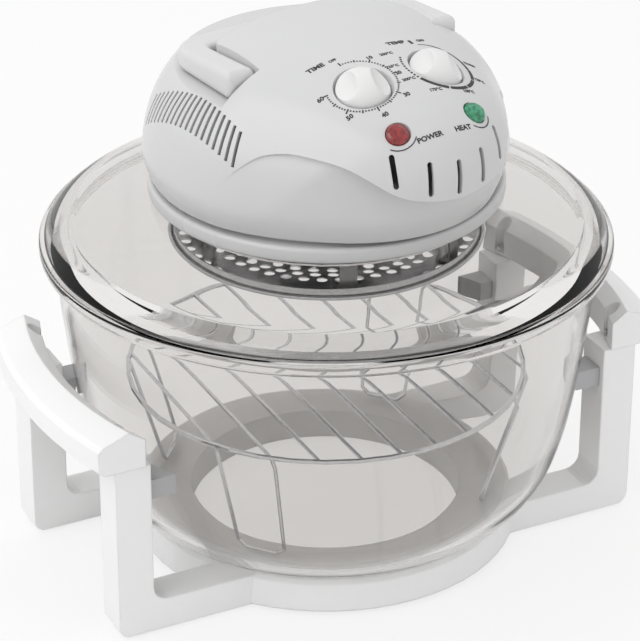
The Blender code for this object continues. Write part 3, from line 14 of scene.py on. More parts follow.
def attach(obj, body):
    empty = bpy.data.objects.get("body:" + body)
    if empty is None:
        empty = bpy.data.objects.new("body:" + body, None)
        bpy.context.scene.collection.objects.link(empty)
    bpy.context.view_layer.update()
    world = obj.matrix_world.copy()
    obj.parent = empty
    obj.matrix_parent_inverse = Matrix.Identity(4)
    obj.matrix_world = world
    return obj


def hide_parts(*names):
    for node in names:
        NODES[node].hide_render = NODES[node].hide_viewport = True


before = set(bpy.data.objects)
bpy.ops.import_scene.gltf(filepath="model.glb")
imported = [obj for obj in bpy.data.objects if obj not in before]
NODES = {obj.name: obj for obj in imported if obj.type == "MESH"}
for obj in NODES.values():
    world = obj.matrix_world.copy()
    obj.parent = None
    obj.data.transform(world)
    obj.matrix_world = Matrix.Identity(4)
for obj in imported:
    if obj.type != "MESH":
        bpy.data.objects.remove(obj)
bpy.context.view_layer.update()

MM = 0.001
LID_TURN = Matrix.Rotation(math.radians(7.0), 4, "Z")
# How far a cutter passes a face, and the gap between pieces that meet
OVERRUN = 4.0 * MM
FIT = 0.3 * MM
ON_AXIS = 1e-7

# Camera, worked out from the photograph's ellipses
CAMERA_AZIMUTH = math.radians(-26.88)
CAMERA_ELEVATION = math.radians(28.18)
CAMERA_ROLL = math.radians(0.21)
CAMERA_DISTANCE = 1.8
CAMERA_LENS = 171.2
CAMERA_SENSOR = 36.0
CAMERA_AIM_HEIGHT = 0.16
CAMERA_AIM_RIGHT = -3.54 * MM
CAMERA_AIM_UP = -24.38 * MM

# Glass, as in the CAD but in finer steps
BOWL_BASE_Z = 22.3 * MM
BOWL_RIM_Z = 193.8 * MM
BOWL_RIM_RADIUS = 168.0 * MM
BOWL_MOUTH_RADIUS = 159.5 * MM
BOWL_FLOOR_RADIUS = 104.0 * MM
BOWL_WALL = 4.5 * MM
BOWL_SIDE_WALL = 4.3 * MM
BOWL_FLANGE = 7.5 * MM
BOWL_RIM_ROUND = 2.0 * MM
BOWL_HEEL_RISE = 3.1 * MM
BOWL_HEEL_SHARE = 0.33
STIPPLE_RISE = 0.2 * MM
STIPPLE_MARGIN = 1.0 * MM
BOWL_WALL_SHARES = (
    (1.0, 0.945), (0.975, 0.70), (0.937, 0.44), (0.905, 0.29), (0.855, 0.155), (0.765, 0.045),
)
LID_RADIUS = 164.6 * MM
LID_BASE_Z = 194.1 * MM
LID_CROWN_Z = 222.2 * MM
LID_HOLE_RADIUS = 90.0 * MM
LID_GLASS_WALL = 4.0 * MM
LID_SHOULDER = 2.5 * MM
LID_LIP_DROP = 5.0 * MM
LID_LIP_OUTER = 153.0 * MM
LID_LIP_INNER = 149.0 * MM
LID_LIP_CLEAR = 1.0 * MM
LID_LIP_STEP = 0.5 * MM
LID_DOME_SHARES = ((0.07, 0.17), (0.20, 0.37), (0.38, 0.60), (0.60, 0.82), (0.80, 0.96), (1.0, 1.0))
GLASS_STEPS = 192
BOWL_SPANS = 6
LID_SPANS = 8
GLASS_ANGLE = 50.0

# Head housing, as in the CAD but in finer steps
HEAD_RADIUS = 107.0 * MM
HEAD_TOP = 326.0 * MM
HEAD_BASE_Z = 235.5 * MM
HEAD_WALL = 2.5 * MM
SKIRT_TUCK = 4.5 * MM
SKIRT_HEIGHT = 18.0 * MM
NOSE_REACH = 130.0 * MM
NOSE_RISE = 29.5 * MM
NOSE_SPAN = math.radians(60.0)
SIDE_POWERS = (2.6, 2.5)
NOSE_POWERS = (2.25, 2.6)
CHEEK_SPAN = math.radians(72.0)
CHEEK_STEP = 4.0 * MM
CHEEK_LIP = 0.8 * MM
CHEEK_FADE_SHARE = 0.55
CHIN_REACH = 116.0 * MM
VISOR_EDGE_SHARES = (
    (0.0, 0.333), (0.11, 0.350), (0.217, 0.395), (0.33, 0.50), (0.43, 0.555), (0.60, 0.57),
    (0.71, 0.547), (0.79, 0.507), (0.87, 0.422), (0.955, 0.30), (1.0, 0.19),
)
VISOR_EDGE_SPANS = 6
SKIN_TRIES = 24
HEAD_COLUMNS = 180
ROOF_ROWS = 34
CHIN_ROWS = 14
CAVITY_COLUMNS = 60
CAVITY_ROWS = 10
MOULDED_ANGLE = 32.0

# Cuts in the housing: the CAD's, with the slits and vents finer and leaned as in the photograph
GROOVE_COUNT = 5
GROOVE_PITCH = 17.2 * MM
GROOVE_Z = 277.8 * MM
GROOVE_CLIMB = 1.65 * MM
GROOVE_LENGTH = 19.0 * MM
GROOVE_LEAN = 1.3 * MM
GROOVE_RADIUS = 1.5 * MM
GROOVE_DEPTH = 4.0 * MM
GROOVE_OUTSIDE = 6.0 * MM
GROOVE_SAMPLE = 3.0 * MM
VENT_COUNT = 19
VENT_WIDTH = 1.9 * MM
VENT_LENGTH = 20.0 * MM
VENT_DEPTH = 9.0 * MM
VENT_FIRST = math.radians(64.5)
VENT_LAST = math.radians(116.0)
VENT_CREST = math.radians(86.0)
VENT_Z = 292.0 * MM
VENT_DROP = 16.5 * MM
VENT_DROP_SPAN = math.radians(30.0)
VENT_SAMPLE = 1.0 * MM
HANDLE_INNER_X = 60.0 * MM
HANDLE_ARM = 17.5 * MM
HANDLE_BAR = 20.5 * MM
HANDLE_BAR_Y = 32.0 * MM
HANDLE_PIVOT_Y = -11.0 * MM
HANDLE_FLOOR_Z = 299.6 * MM
HANDLE_PIVOT_Z = 308.4 * MM
HANDLE_HEIGHT = 16.6 * MM
HANDLE_CORNER = 24.0 * MM
HANDLE_INNER_CORNER = 5.0 * MM
HANDLE_FALL = 5.5 * MM
HANDLE_SIDE_GAP = 1.0 * MM
HANDLE_END_GAP = 1.6 * MM
HANDLE_BLOCK_Y = 27.8 * MM
HANDLE_EDGE = 4.0 * MM
HANDLE_EDGE_ANGLE = math.radians(40)
HANDLE_VOXEL = 0.6 * MM
PIN_RADIUS = 2.5 * MM
PIN_END = 70.5 * MM
SPINDLE_HOLE = 3.6 * MM
PLUNGER_HOLE = 2.8 * MM
SWITCH_X = -30.0 * MM
GLAND_HOLE = 6.3 * MM
GLAND_HOLE_LENGTH = 16.0 * MM
GLAND_Z = 247.0 * MM

# Disc under the head, as in the CAD
DISC_RADIUS = 104.0 * MM
DISC_ROUND = 2.5 * MM
DISC_LOW = 222.5 * MM
DISC_PAN_RADIUS = 88.0 * MM
DISC_NECK_RADIUS = 95.1 * MM
DISC_SEAT_RADIUS = 98.8 * MM
DISC_SHEET = 3.0 * MM
NECK_SPIGOT = 3.0 * MM
CREVICE = 3.5 * MM
SHAFT_HOLE = 9.0 * MM
MOTOR_RADIUS = 29.0 * MM

# Dials and lamps, in the head's own frame
DIAL_X = 24.8 * MM
DIAL_Y = -72.0 * MM
DIAL_TILT = math.radians(15.5)
DIAL_LEAN = math.radians(9.0)
DISH_RADIUS = 17.4 * MM
DISH_FLOOR_RADIUS = 15.9 * MM
DISH_DEPTH = 5.5 * MM
DISH_ROUND = 1.2 * MM
DISH_ABOVE = 8.0 * MM
DISH_STEPS = 72
POST_STEPS = 48
KNOB_RADIUS = 15.2 * MM
KNOB_HEIGHT = 13.0 * MM
KNOB_EDGE = 2.6 * MM
KNOB_BAR_HALF_WIDTH = 4.6 * MM
KNOB_SCOOP = (13.0 * MM, 21.0 * MM, 10.0 * MM)
KNOB_TURN = math.radians(-22.0)
KNOB_ROWS = 12
KNOB_STEPS = 64
KNOB_VOXEL = 0.32 * MM
SOFT_ANGLE = 70.0
LAMP_X = 25.3 * MM
LAMP_Y = -106.5 * MM
LAMP_TILT = math.radians(33.0)
LENS_RADIUS = 6.6 * MM
LENS_HOLE_REACH = 12.0 * MM

# Soft edges of the stand's grips
GRIP_EDGE = 2.6 * MM
GRIP_EDGE_ANGLE = math.radians(25)

# Guard under the lamp
GUARD_RADIUS = 91.9 * MM
GUARD_BEAD = 2.4 * MM
GUARD_Z = 196.4 * MM
GUARD_SINK = 3.0 * MM
GUARD_SHEET = 0.8 * MM
GUARD_HOLE_RADIUS = 3.2 * MM
GUARD_WALL = 5.5 * MM
GUARD_WALL_LEAN = 0.8 * MM
GUARD_LAP = 0.5 * MM
GUARD_BEAD_DROP = 2.2 * MM
GUARD_STEPS = 160
GUARD_HOLE_STEPS = 14
GUARD_ANGLE = 40.0
# Radius of each row and the number of holes in it
GUARD_ROWS = (
    (82.5 * MM, 50), (66.0 * MM, 40), (58.5 * MM, 36), (51.0 * MM, 30),
    (43.5 * MM, 26), (36.0 * MM, 22), (28.5 * MM, 16), (21.0 * MM, 12),
)

# Name, place, size and power of each studio lamp, and the light of the room
STUDIO_LIGHTS = (
    ("key", (-1.4, -0.2, 1.5), (1.8, 1.8), 15.0),
    ("fill", (1.1, -1.4, 0.4), (1.4, 1.4), 6.0),
    ("top", (0.0, 0.6, 1.8), (2.2, 2.2), 13.0),
)
LIGHT_AIM = (0, 0, 0.2)
WORLD_LIGHT = 0.58
MIRRORED_WHITE = 0.55
FLOOR_HALF = 6.0
FLOOR_WHITE = (0.88, 0.88, 0.88, 1)
FLOOR_ROUGHNESS = 0.8
FLOOR_GLOW = 0.75

# Ink: how it lies on the skin, and how bold the letters are for their size
PRINT_LIFT = 0.12 * MM
PRINT_THICKNESS = 0.1 * MM
PRINT_DROP = 14.0 * MM
LETTER_WEIGHT = 0.034
LETTER_STRETCH = 1.1
TITLE_STRETCH = 1.15

# The timer's scale. Places are in the dial's own frame, and angles run clockwise in degrees
TIME_RING = 20.3 * MM
TIME_RING_CENTRE = (0.4 * MM, 2.2 * MM)
TIME_SPAN = 284.0
TIME_MINUTES = 60
TIME_LONG_STEPS = 12
TIME_TICK_HALF = 0.45 * MM
TIME_TICK_WIDTH = 0.85 * MM
TIME_LONG_INNER = 0.8 * MM
TIME_LONG_OUTER = (2.2 * MM, 1.2 * MM)
TIME_LONG_WIDTH = 0.8 * MM
TIME_TITLE = ("TIME", (-11.5 * MM, 29.0 * MM), 4.5 * MM)
TIME_OFF = ("OFF", (-0.5 * MM, 28.5 * MM), 2.8 * MM)
TIME_WORD_SIZE = 3.9 * MM
TIME_WORDS = (
    ("10", (17.8 * MM, 19.2 * MM)),
    ("20", (23.3 * MM, -0.4 * MM)),
    ("30", (16.5 * MM, -17.8 * MM)),
    ("40", (-2.2 * MM, -23.8 * MM)),
    ("50", (-18.1 * MM, -13.3 * MM)),
    ("60", (-23.2 * MM, 7.2 * MM)),
)

# The thermostat's scale: an arc that grows, thick segments, and dots
TEMP_RING = 21.4 * MM
TEMP_RING_CENTRE = (1.6 * MM, 1.9 * MM)
# Start, end, width at the start and width at the end
TEMP_SWELL = ((2, 60, 0.35 * MM, 0.9 * MM), (60, 95, 0.9 * MM, 1.9 * MM))
TEMP_SEGMENTS = ((97, 124), (127, 155), (158, 192), (195, 240))
TEMP_SEGMENT_WIDTH = 2.1 * MM
TEMP_SEGMENT_STEPS = 10
TEMP_DOTS = range(245, 304, 6)
TEMP_DOT_HALF = 0.55 * MM
TEMP_DOT_WIDTH = 1.2 * MM
TEMP_MARK = (-5, 1.4 * MM, 5.2 * MM, 1.9 * MM)
TEMP_TITLE = ("TEMP", (-10.0 * MM, 27.6 * MM), 4.3 * MM)
TEMP_OFF = ("OFF", (7.2 * MM, 27.7 * MM), 3.0 * MM)
TEMP_WORD_SIZE = 2.9 * MM
TEMP_WORDS = (
    ("THAW", (29.6 * MM, 6.8 * MM)),
    ("125\u00b0C", (26.3 * MM, -8.5 * MM)),
    ("150\u00b0C", (8.5 * MM, -21.7 * MM)),
    ("175\u00b0C", (-13.5 * MM, -19.5 * MM)),
    ("200\u00b0C", (-23.8 * MM, -7.5 * MM)),
    ("225\u00b0C", (-26.2 * MM, 6.0 * MM)),
    ("250\u00b0C", (-22.2 * MM, 18.5 * MM)),
)

# The lamps' words: side, word, place, and the arc's start and end
LAMP_RING = 9.6 * MM
LAMP_ARC_WIDTH = 0.6 * MM
LAMP_WORD_SIZE = 4.1 * MM
LAMP_WORDS = (
    (-1, "POWER", (15.0 * MM, -8.5 * MM), 125, 230),
    (1, "HEAT", (-13.6 * MM, -8.5 * MM), 105, 215),
)

# Surfaces: what glass does to light, and how fine and how deep each pattern is
GLASS_INDEX = 1.3
GLASS_SHADE = (0.97, 0.968, 0.965, 1)
GLASS_WAVES = 9.0
GLASS_WAVE_STRENGTH = 0.015
GLASS_WAVE_HEIGHT = 1.0 * MM
STIPPLE_GRAIN = 520.0
STIPPLE_HEIGHT = 0.6 * MM
PLASTIC_INDEX = 1.5
PLASTIC_CLOUD = 14.0
METAL_GRAIN = 260.0
SKIN_HEIGHT = 0.2 * MM
LENS_GRAIN = 420.0
LENS_HEIGHT = 0.4 * MM
LENS_FACETS = 0.25
LENS_ROUGHNESS = 0.12
LENS_COAT = 0.6
LENS_DEPTH = 0.25
LENS_SCATTER = (2.0 * MM, 1.0 * MM, 1.0 * MM)
NOISE_RANGE = (0.3, 0.7)
TINT_RANGE = (0.35, 0.65)
# The dark side of the colour, and the glossy and dull sides of the roughness, as shares of it
PLASTIC_DARK_SHARE = 0.985
PLASTIC_GLOSS_SHARES = (0.9, 1.15)
METAL_DARK_SHARE = 0.92
METAL_GLOSS_SHARES = (0.8, 1.3)
GLASS_DULLER = 0.012
STIPPLE_DULLER = 0.10


def new_material(name):
    """A material with its tree and its main shader."""
    made = bpy.data.materials.new(name)
    made.use_nodes = True
    tree = made.node_tree
    return made, tree, tree.nodes["Principled BSDF"]


def put(node, **values):
    """Sets a node's sockets by their names, with _ for a space."""
    for name, value in values.items():
        node.inputs[name.replace("_", " ")].default_value = value


def add_noise(tree, scale, detail=3.0):
    coordinates = tree.nodes.new("ShaderNodeTexCoord")
    noise = tree.nodes.new("ShaderNodeTexNoise")
    put(noise, Scale=scale, Detail=detail)
    tree.links.new(coordinates.outputs["Object"], noise.inputs["Vector"])
    return noise


def vary(tree, source, socket, low, high):
    """Drives a socket from a noise, between two values."""
    spread = tree.nodes.new("ShaderNodeMapRange")
    put(spread, From_Min=NOISE_RANGE[0], From_Max=NOISE_RANGE[1], To_Min=low, To_Max=high)
    tree.links.new(source.outputs["Fac"], spread.inputs["Value"])
    tree.links.new(spread.outputs["Result"], socket)


def add_bump(tree, shader, source, strength, distance, edge=0.0):
    """A bump from a noise, over edges that are rounded by a small radius."""
    bump = tree.nodes.new("ShaderNodeBump")
    put(bump, Strength=strength, Distance=distance)
    tree.links.new(source.outputs["Fac"], bump.inputs["Height"])
    if edge:
        rounding = tree.nodes.new("ShaderNodeBevel")
        rounding.samples = 6
        put(rounding, Radius=edge)
        tree.links.new(rounding.outputs["Normal"], bump.inputs["Normal"])
    tree.links.new(bump.outputs["Normal"], shader.inputs["Normal"])


def tint(tree, shader, source, dark, light):
    """Colours a surface from a noise, between two colours."""
    ramp = tree.nodes.new("ShaderNodeValToRGB")
    for element, place, colour in zip(ramp.color_ramp.elements, TINT_RANGE, (dark, light)):
        element.position = place
        element.color = (*colour, 1)
    tree.links.new(source.outputs["Fac"], ramp.inputs["Fac"])
    tree.links.new(ramp.outputs["Color"], shader.inputs["Base Color"])


def mottle(tree, shader, noise, colour, dark_share, roughness, gloss_shares):
    """A slight unevenness in colour and gloss, from a noise."""
    tint(tree, shader, noise, [channel * dark_share for channel in colour], colour)
    low, high = (roughness * share for share in gloss_shares)
    vary(tree, noise, shader.inputs["Roughness"], low, high)


def plastic(name, colour, roughness, ripple=0.02, grain=900.0, edge=0.0):
    """Moulded plastic: a slight unevenness in gloss and colour, and a very fine skin."""
    made, tree, shader = new_material(name)
    broad = add_noise(tree, PLASTIC_CLOUD)
    fine = add_noise(tree, grain, 2.0)
    mottle(tree, shader, broad, colour, PLASTIC_DARK_SHARE, roughness, PLASTIC_GLOSS_SHARES)
    add_bump(tree, shader, fine, ripple, SKIN_HEIGHT, edge)
    put(shader, IOR=PLASTIC_INDEX)
    return made


def metal(name, colour, roughness, ripple=0.02):
    """Plain metal: a fine grain in its colour and gloss."""
    made, tree, shader = new_material(name)
    put(shader, Metallic=1.0)
    noise = add_noise(tree, METAL_GRAIN, 4.0)
    mottle(tree, shader, noise, colour, METAL_DARK_SHARE, roughness, METAL_GLOSS_SHARES)
    add_bump(tree, shader, noise, ripple, SKIN_HEIGHT)
    return made


def show_mix(tree, factor, first, second):
    """The surface shows one shader or another, by a factor."""
    mix = tree.nodes.new("ShaderNodeMixShader")
    for socket, source in zip(mix.inputs, (factor, first, second)):
        tree.links.new(source, socket)
    tree.links.new(mix.outputs["Shader"], tree.nodes["Material Output"].inputs["Surface"])


def let_lamps_through(tree, shader):
    """Light from the lamps passes the glass instead of leaving a black shadow behind it."""
    path = tree.nodes.new("ShaderNodeLightPath")
    clear = tree.nodes.new("ShaderNodeBsdfTransparent")
    put(clear, Color=GLASS_SHADE)
    show_mix(tree, path.outputs["Is Shadow Ray"], shader.outputs["BSDF"], clear.outputs["BSDF"])


def glass(name, colour, roughness=0.0, stipple=0.0, clear=1.0):
    """Tinted glass with the faint waves of pressed glass, or a stipple where asked."""
    made, tree, shader = new_material(name)
    let_lamps_through(tree, shader)
    put(shader, Base_Color=(*colour, 1), Transmission_Weight=clear, IOR=GLASS_INDEX)
    if stipple:
        noise = add_noise(tree, STIPPLE_GRAIN, 2.0)
        vary(tree, noise, shader.inputs["Roughness"], roughness, roughness + STIPPLE_DULLER)
        add_bump(tree, shader, noise, stipple, STIPPLE_HEIGHT)
    else:
        noise = add_noise(tree, GLASS_WAVES)
        vary(tree, noise, shader.inputs["Roughness"], roughness, roughness + GLASS_DULLER)
        add_bump(tree, shader, noise, GLASS_WAVE_STRENGTH, GLASS_WAVE_HEIGHT)
    return made


def lens_material(name, dark, light):
    """A moulded translucent lens: clear colour over a darker, faceted inside."""
    made, tree, shader = new_material(name)
    noise = add_noise(tree, LENS_GRAIN, 1.0)
    tint(tree, shader, noise, dark, light)
    put(shader, Roughness=LENS_ROUGHNESS, Coat_Weight=LENS_COAT)
    put(shader, Subsurface_Weight=LENS_DEPTH, Subsurface_Radius=LENS_SCATTER)
    add_bump(tree, shader, noise, LENS_FACETS, LENS_HEIGHT)
    return made


# Painted shade: the head, the disc under it, the handle and the knobs are greyer copies of the
# stand's white plastic, darkened to paint the shade that falls on the head. The stand's white is
# the lit copy of the same plastic.
HEAD_SHADED_WHITE = plastic("head_white_painted_shade", (0.63, 0.63, 0.632), 0.22, edge=0.7 * MM)
DISC_SHADED_WHITE = plastic("disc_white_painted_shade", (0.63, 0.63, 0.632), 0.24, edge=0.8 * MM)
HANDLE_SHADED_WHITE = plastic("handle_white_painted_shade", (0.66, 0.66, 0.662), 0.28)
KNOB_SHADED_WHITE = plastic("knob_white_painted_shade", (0.77, 0.77, 0.765), 0.30)
STAND_WHITE = plastic(
    "stand_white", (0.92, 0.92, 0.92), 0.42, ripple=0.08, grain=1400.0, edge=1.5 * MM
)
BOWL_GLASS = glass("bowl_glass", (0.835, 0.822, 0.812))
FLOOR_GLASS = glass(
    "bowl_floor_glass", (0.84, 0.828, 0.818), roughness=0.40, stipple=0.6, clear=0.72
)
LID_GLASS = glass("lid_glass", (0.85, 0.838, 0.828))
QUARTZ = glass("quartz", (0.95, 0.94, 0.92), 0.03)
CHROME = metal("chrome", (0.80, 0.80, 0.81), 0.10)
GUARD_METAL = metal("guard_metal", (0.50, 0.50, 0.51), 0.16)
WIRE_METAL = metal("wire_metal", (0.70, 0.70, 0.71), 0.20)
STEEL = metal("steel", (0.50, 0.50, 0.51), 0.32)
DARK_STEEL = metal("dark_steel", (0.30, 0.30, 0.30), 0.45)
RUBBER = plastic("foot_rubber", (0.24, 0.24, 0.25), 0.75, ripple=0.2)
PAD = plastic("pad_grey", (0.46, 0.46, 0.47), 0.6, ripple=0.15)
CERAMIC = plastic("ceramic", (0.80, 0.78, 0.72), 0.6, ripple=0.2)
RED = lens_material("red_lens", (0.16, 0.008, 0.010), (0.34, 0.022, 0.022))
GREEN = lens_material("green_lens", (0.012, 0.16, 0.075), (0.06, 0.36, 0.19))
BLACK = plastic("black_plastic", (0.03, 0.03, 0.03), 0.5)
INK = plastic("ink", (0.035, 0.035, 0.035), 0.55, ripple=0.0)

# Each surface and the CAD nodes that have it, without a group's numbers
FINISHES = (
    (HEAD_SHADED_WHITE, ("head_housing",)),
    (DISC_SHADED_WHITE, ("head_disc", "cooling_fan")),
    (HANDLE_SHADED_WHITE, ("carry_handle",)),
    (KNOB_SHADED_WHITE, ("timer_knob", "thermostat_knob")),
    (STAND_WHITE, ("stand_base", "left_grip", "right_grip")),
    (BOWL_GLASS, ("glass_bowl",)),
    (LID_GLASS, ("glass_lid",)),
    (WIRE_METAL, ("wire_rack",)),
    (GUARD_METAL, ("guard_plate",)),
    (CHROME, ("heat_shield",)),
    (STEEL, ("convection_fan", "motor_shaft", "timer_body", "thermostat_body")),
    (STEEL, ("hinge_pin_left", "hinge_pin_right", "grip_screw")),
    (DARK_STEEL, ("motor", "guard_bracket")),
    (QUARTZ, ("halogen_tube",)),
    (CERAMIC, ("tube_holder_left", "tube_holder_right")),
    (RED, ("power_lamp",)),
    (GREEN, ("heat_lamp",)),
    (BLACK, ("safety_switch", "switch_plunger", "cable_gland")),
    (RUBBER, ("foot",)),
    (PAD, ("bowl_pad",)),
)


def link(name, data):
    """A new object in the scene."""
    obj = bpy.data.objects.new(name, data)
    bpy.context.scene.collection.objects.link(obj)
    return obj


def paint_nodes():
    """Gives each CAD node its surface, by its name or by its group's."""
    surfaces = {name: surface for surface, names in FINISHES for name in names}
    for name, obj in NODES.items():
        obj.data.materials.clear()
        obj.data.materials.append(surfaces[name.rstrip("_0123456789")])


def round_grips():
    """Soft edges on the moulded grips."""
    for name in ("left_grip", "right_grip"):
        soften(NODES[name], GRIP_EDGE, 4, GRIP_EDGE_ANGLE)


def place_camera():
    """The photograph's own view."""
    right = Vector((math.cos(CAMERA_AZIMUTH), math.sin(CAMERA_AZIMUTH), 0))
    flat = math.cos(CAMERA_ELEVATION)
    toward = Vector((
        math.sin(CAMERA_AZIMUTH) * flat,
        -math.cos(CAMERA_AZIMUTH) * flat,
        math.sin(CAMERA_ELEVATION),
    ))
    up = toward.cross(right)
    aim = Vector((0, 0, CAMERA_AIM_HEIGHT)) + right * CAMERA_AIM_RIGHT + up * CAMERA_AIM_UP
    data = bpy.data.cameras.new("photo_camera")
    data.lens = CAMERA_LENS
    data.sensor_width = CAMERA_SENSOR
    camera = link("photo_camera", data)
    axes = Matrix((right, up, toward)).transposed()
    camera.matrix_world = (
        Matrix.Translation(aim + toward * CAMERA_DISTANCE)
        @ (axes.to_4x4() @ Matrix.Rotation(CAMERA_ROLL, 4, "Z"))
    )
    bpy.context.scene.camera = camera


def add_area_light(name, place, size, power):
    """A studio lamp. Only the key shows in reflections, and none shows through the glass."""
    data = bpy.data.lights.new(name, "AREA")
    data.shape = "RECTANGLE"
    data.size, data.size_y = size
    data.energy = power
    light = link(name, data)
    light.location = place
    toward = Vector(LIGHT_AIM) - Vector(place)
    light.rotation_euler = toward.to_track_quat("-Z", "Y").to_euler()
    light.visible_glossy = name == "key"
    light.visible_transmission = False


def combine(tree, operation, first, second):
    """A sum over a socket and another socket or a plain value."""
    node = tree.nodes.new("ShaderNodeMath")
    node.operation = operation
    tree.links.new(first, node.inputs[0])
    if isinstance(second, float):
        node.inputs[1].default_value = second
    else:
        tree.links.new(second, node.inputs[1])
    return node.outputs["Value"]


def seen_by_eye(tree):
    """1 where the camera looks straight or through glass, and about half in a reflection."""
    path = tree.nodes.new("ShaderNodeLightPath").outputs
    straight = combine(tree, "MAXIMUM", path["Is Camera Ray"], path["Is Transmission Ray"])
    mirrored = combine(tree, "MULTIPLY", path["Is Glossy Ray"], MIRRORED_WHITE)
    return combine(tree, "MAXIMUM", straight, mirrored)


def light_scene():
    """The room's plain light, white where the camera sees it, and the studio lamps."""
    world = bpy.data.worlds.new("studio")
    bpy.context.scene.world = world
    world.use_nodes = True
    tree = world.node_tree
    background = tree.nodes["Background"]
    strength = tree.nodes.new("ShaderNodeMapRange")
    put(strength, To_Min=WORLD_LIGHT, To_Max=1.0)
    tree.links.new(seen_by_eye(tree), strength.inputs["Value"])
    tree.links.new(strength.outputs["Result"], background.inputs["Strength"])
    put(background, Color=(1, 1, 1, 1))
    for name, place, size, power in STUDIO_LIGHTS:
        add_area_light(name, place, size, power)


def make_floor():
    """A plain white floor that keeps a soft shadow and is white where the camera sees it."""
    bm = bmesh.new()
    bmesh.ops.create_grid(bm, x_segments=1, y_segments=1, size=FLOOR_HALF)
    floor = link_mesh("floor", bm)
    made, tree, shader = new_material("floor_white")
    put(shader, Base_Color=FLOOR_WHITE, Roughness=FLOOR_ROUGHNESS)
    glow = tree.nodes.new("ShaderNodeEmission")
    share = combine(tree, "MULTIPLY", seen_by_eye(tree), FLOOR_GLOW)
    show_mix(tree, share, shader.outputs["BSDF"], glow.outputs["Emission"])
    floor.data.materials.append(made)


def mesh_of(bm, matrix=None):
    """The mesh of a bmesh, which goes, moved by a matrix where one is given."""
    bmesh.ops.recalc_face_normals(bm, faces=bm.faces)
    mesh = bpy.data.meshes.new("made")
    bm.to_mesh(mesh)
    bm.free()
    if matrix is not None:
        mesh.transform(matrix)
    return mesh


def link_mesh(name, bm, matrix=None):
    """An object made from a bmesh, at a place in the world where one is given."""
    obj = link(name, mesh_of(bm))
    if matrix is not None:
        obj.matrix_world = matrix
    return obj


def modify(obj, kind, **settings):
    """Adds a modifier with its settings."""
    modifier = obj.modifiers.new(kind.lower(), kind)
    for key, value in settings.items():
        setattr(modifier, key, value)


def soften(obj, width, segments, angle):
    """Rounds the edges that are sharper than an angle."""
    modify(obj, "BEVEL", width=width, segments=segments, limit_method="ANGLE", angle_limit=angle)


def carve(obj, *cutters):
    """Cuts each of the cutters out of an object."""
    for other in cutters:
        modify(obj, "BOOLEAN", object=other, operation="DIFFERENCE", solver="EXACT")


def settled(obj, *helpers):
    """The object's mesh with every modifier applied. The object and its helpers go."""
    bpy.context.view_layer.update()
    graph = bpy.context.evaluated_depsgraph_get()
    mesh = bpy.data.meshes.new_from_object(obj.evaluated_get(graph))
    mesh.transform(obj.matrix_world)
    for gone in (obj, *helpers):
        bpy.data.objects.remove(gone, do_unlink=True)
    return mesh


def add_piece(name, mesh, surfaces, body, nodes, angle, weighted=False):
    """A piece from a mesh in world space, which rides on a body and stands for CAD nodes."""
    mesh.name = name
    mesh.shade_smooth()
    mesh.set_sharp_from_angle(angle=math.radians(angle))
    mesh.materials.clear()
    for surface in surfaces:
        mesh.materials.append(surface)
    obj = link(name, mesh)
    if weighted:
        modify(obj, "WEIGHTED_NORMAL", keep_sharp=True, weight=80)
    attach(obj, body)
    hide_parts(*nodes)
    return obj


def smooth(points, spans):
    """A run of points through the given ones that bends smoothly between them."""
    padded = [points[0], *points, points[-1]]
    run = []
    for index in range(len(points) - 1):
        before, start, end, after = (Vector(point) for point in padded[index : index + 4])
        for step in range(spans):
            t = step / spans
            run.append(0.5 * (
                2 * start
                + (end - before) * t
                + (2 * before - 5 * start + 4 * end - after) * t**2
                + (3 * start - before - 3 * end + after) * t**3
            ))
    return [tuple(point) for point in run] + [tuple(points[-1])]


def fillet(centre, radius, start, end, count=5):
    """Points of a rounded corner, from one angle to another in degrees."""
    points = []
    for index in range(count + 1):
        turn = math.radians(start + (end - start) * index / count)
        points.append((centre[0] + radius * math.cos(turn), centre[1] + radius * math.sin(turn)))
    return points


def circle(x, y, radius, count):
    """Points round a middle."""
    turns = [2 * math.pi * index / count for index in range(count)]
    return [(x + radius * math.cos(turn), y + radius * math.sin(turn)) for turn in turns]


def revolve(profile, steps, closed=False, surface_of=None):
    """A turned surface from (radius, height) points. A point on the axis becomes one vertex."""
    bm = bmesh.new()
    rings = []
    for radius, height in profile:
        if radius < ON_AXIS:
            rings.append([bm.verts.new((0, 0, height))] * steps)
            continue
        rings.append([bm.verts.new((x, y, height)) for x, y in circle(0, 0, radius, steps)])
    pairs = list(zip(range(len(profile) - 1), range(1, len(profile))))
    if closed:
        pairs.append((len(profile) - 1, 0))
    for first, second in pairs:
        near, far = rings[first], rings[second]
        for index in range(steps):
            follower = (index + 1) % steps
            corners = [near[index], far[index], far[follower], near[follower]]
            unique = list(dict.fromkeys(corners))
            if len(unique) < 3:
                continue
            face = bm.faces.new(unique)
            if surface_of:
                face.material_index = surface_of(profile[first], profile[second])
    return bm


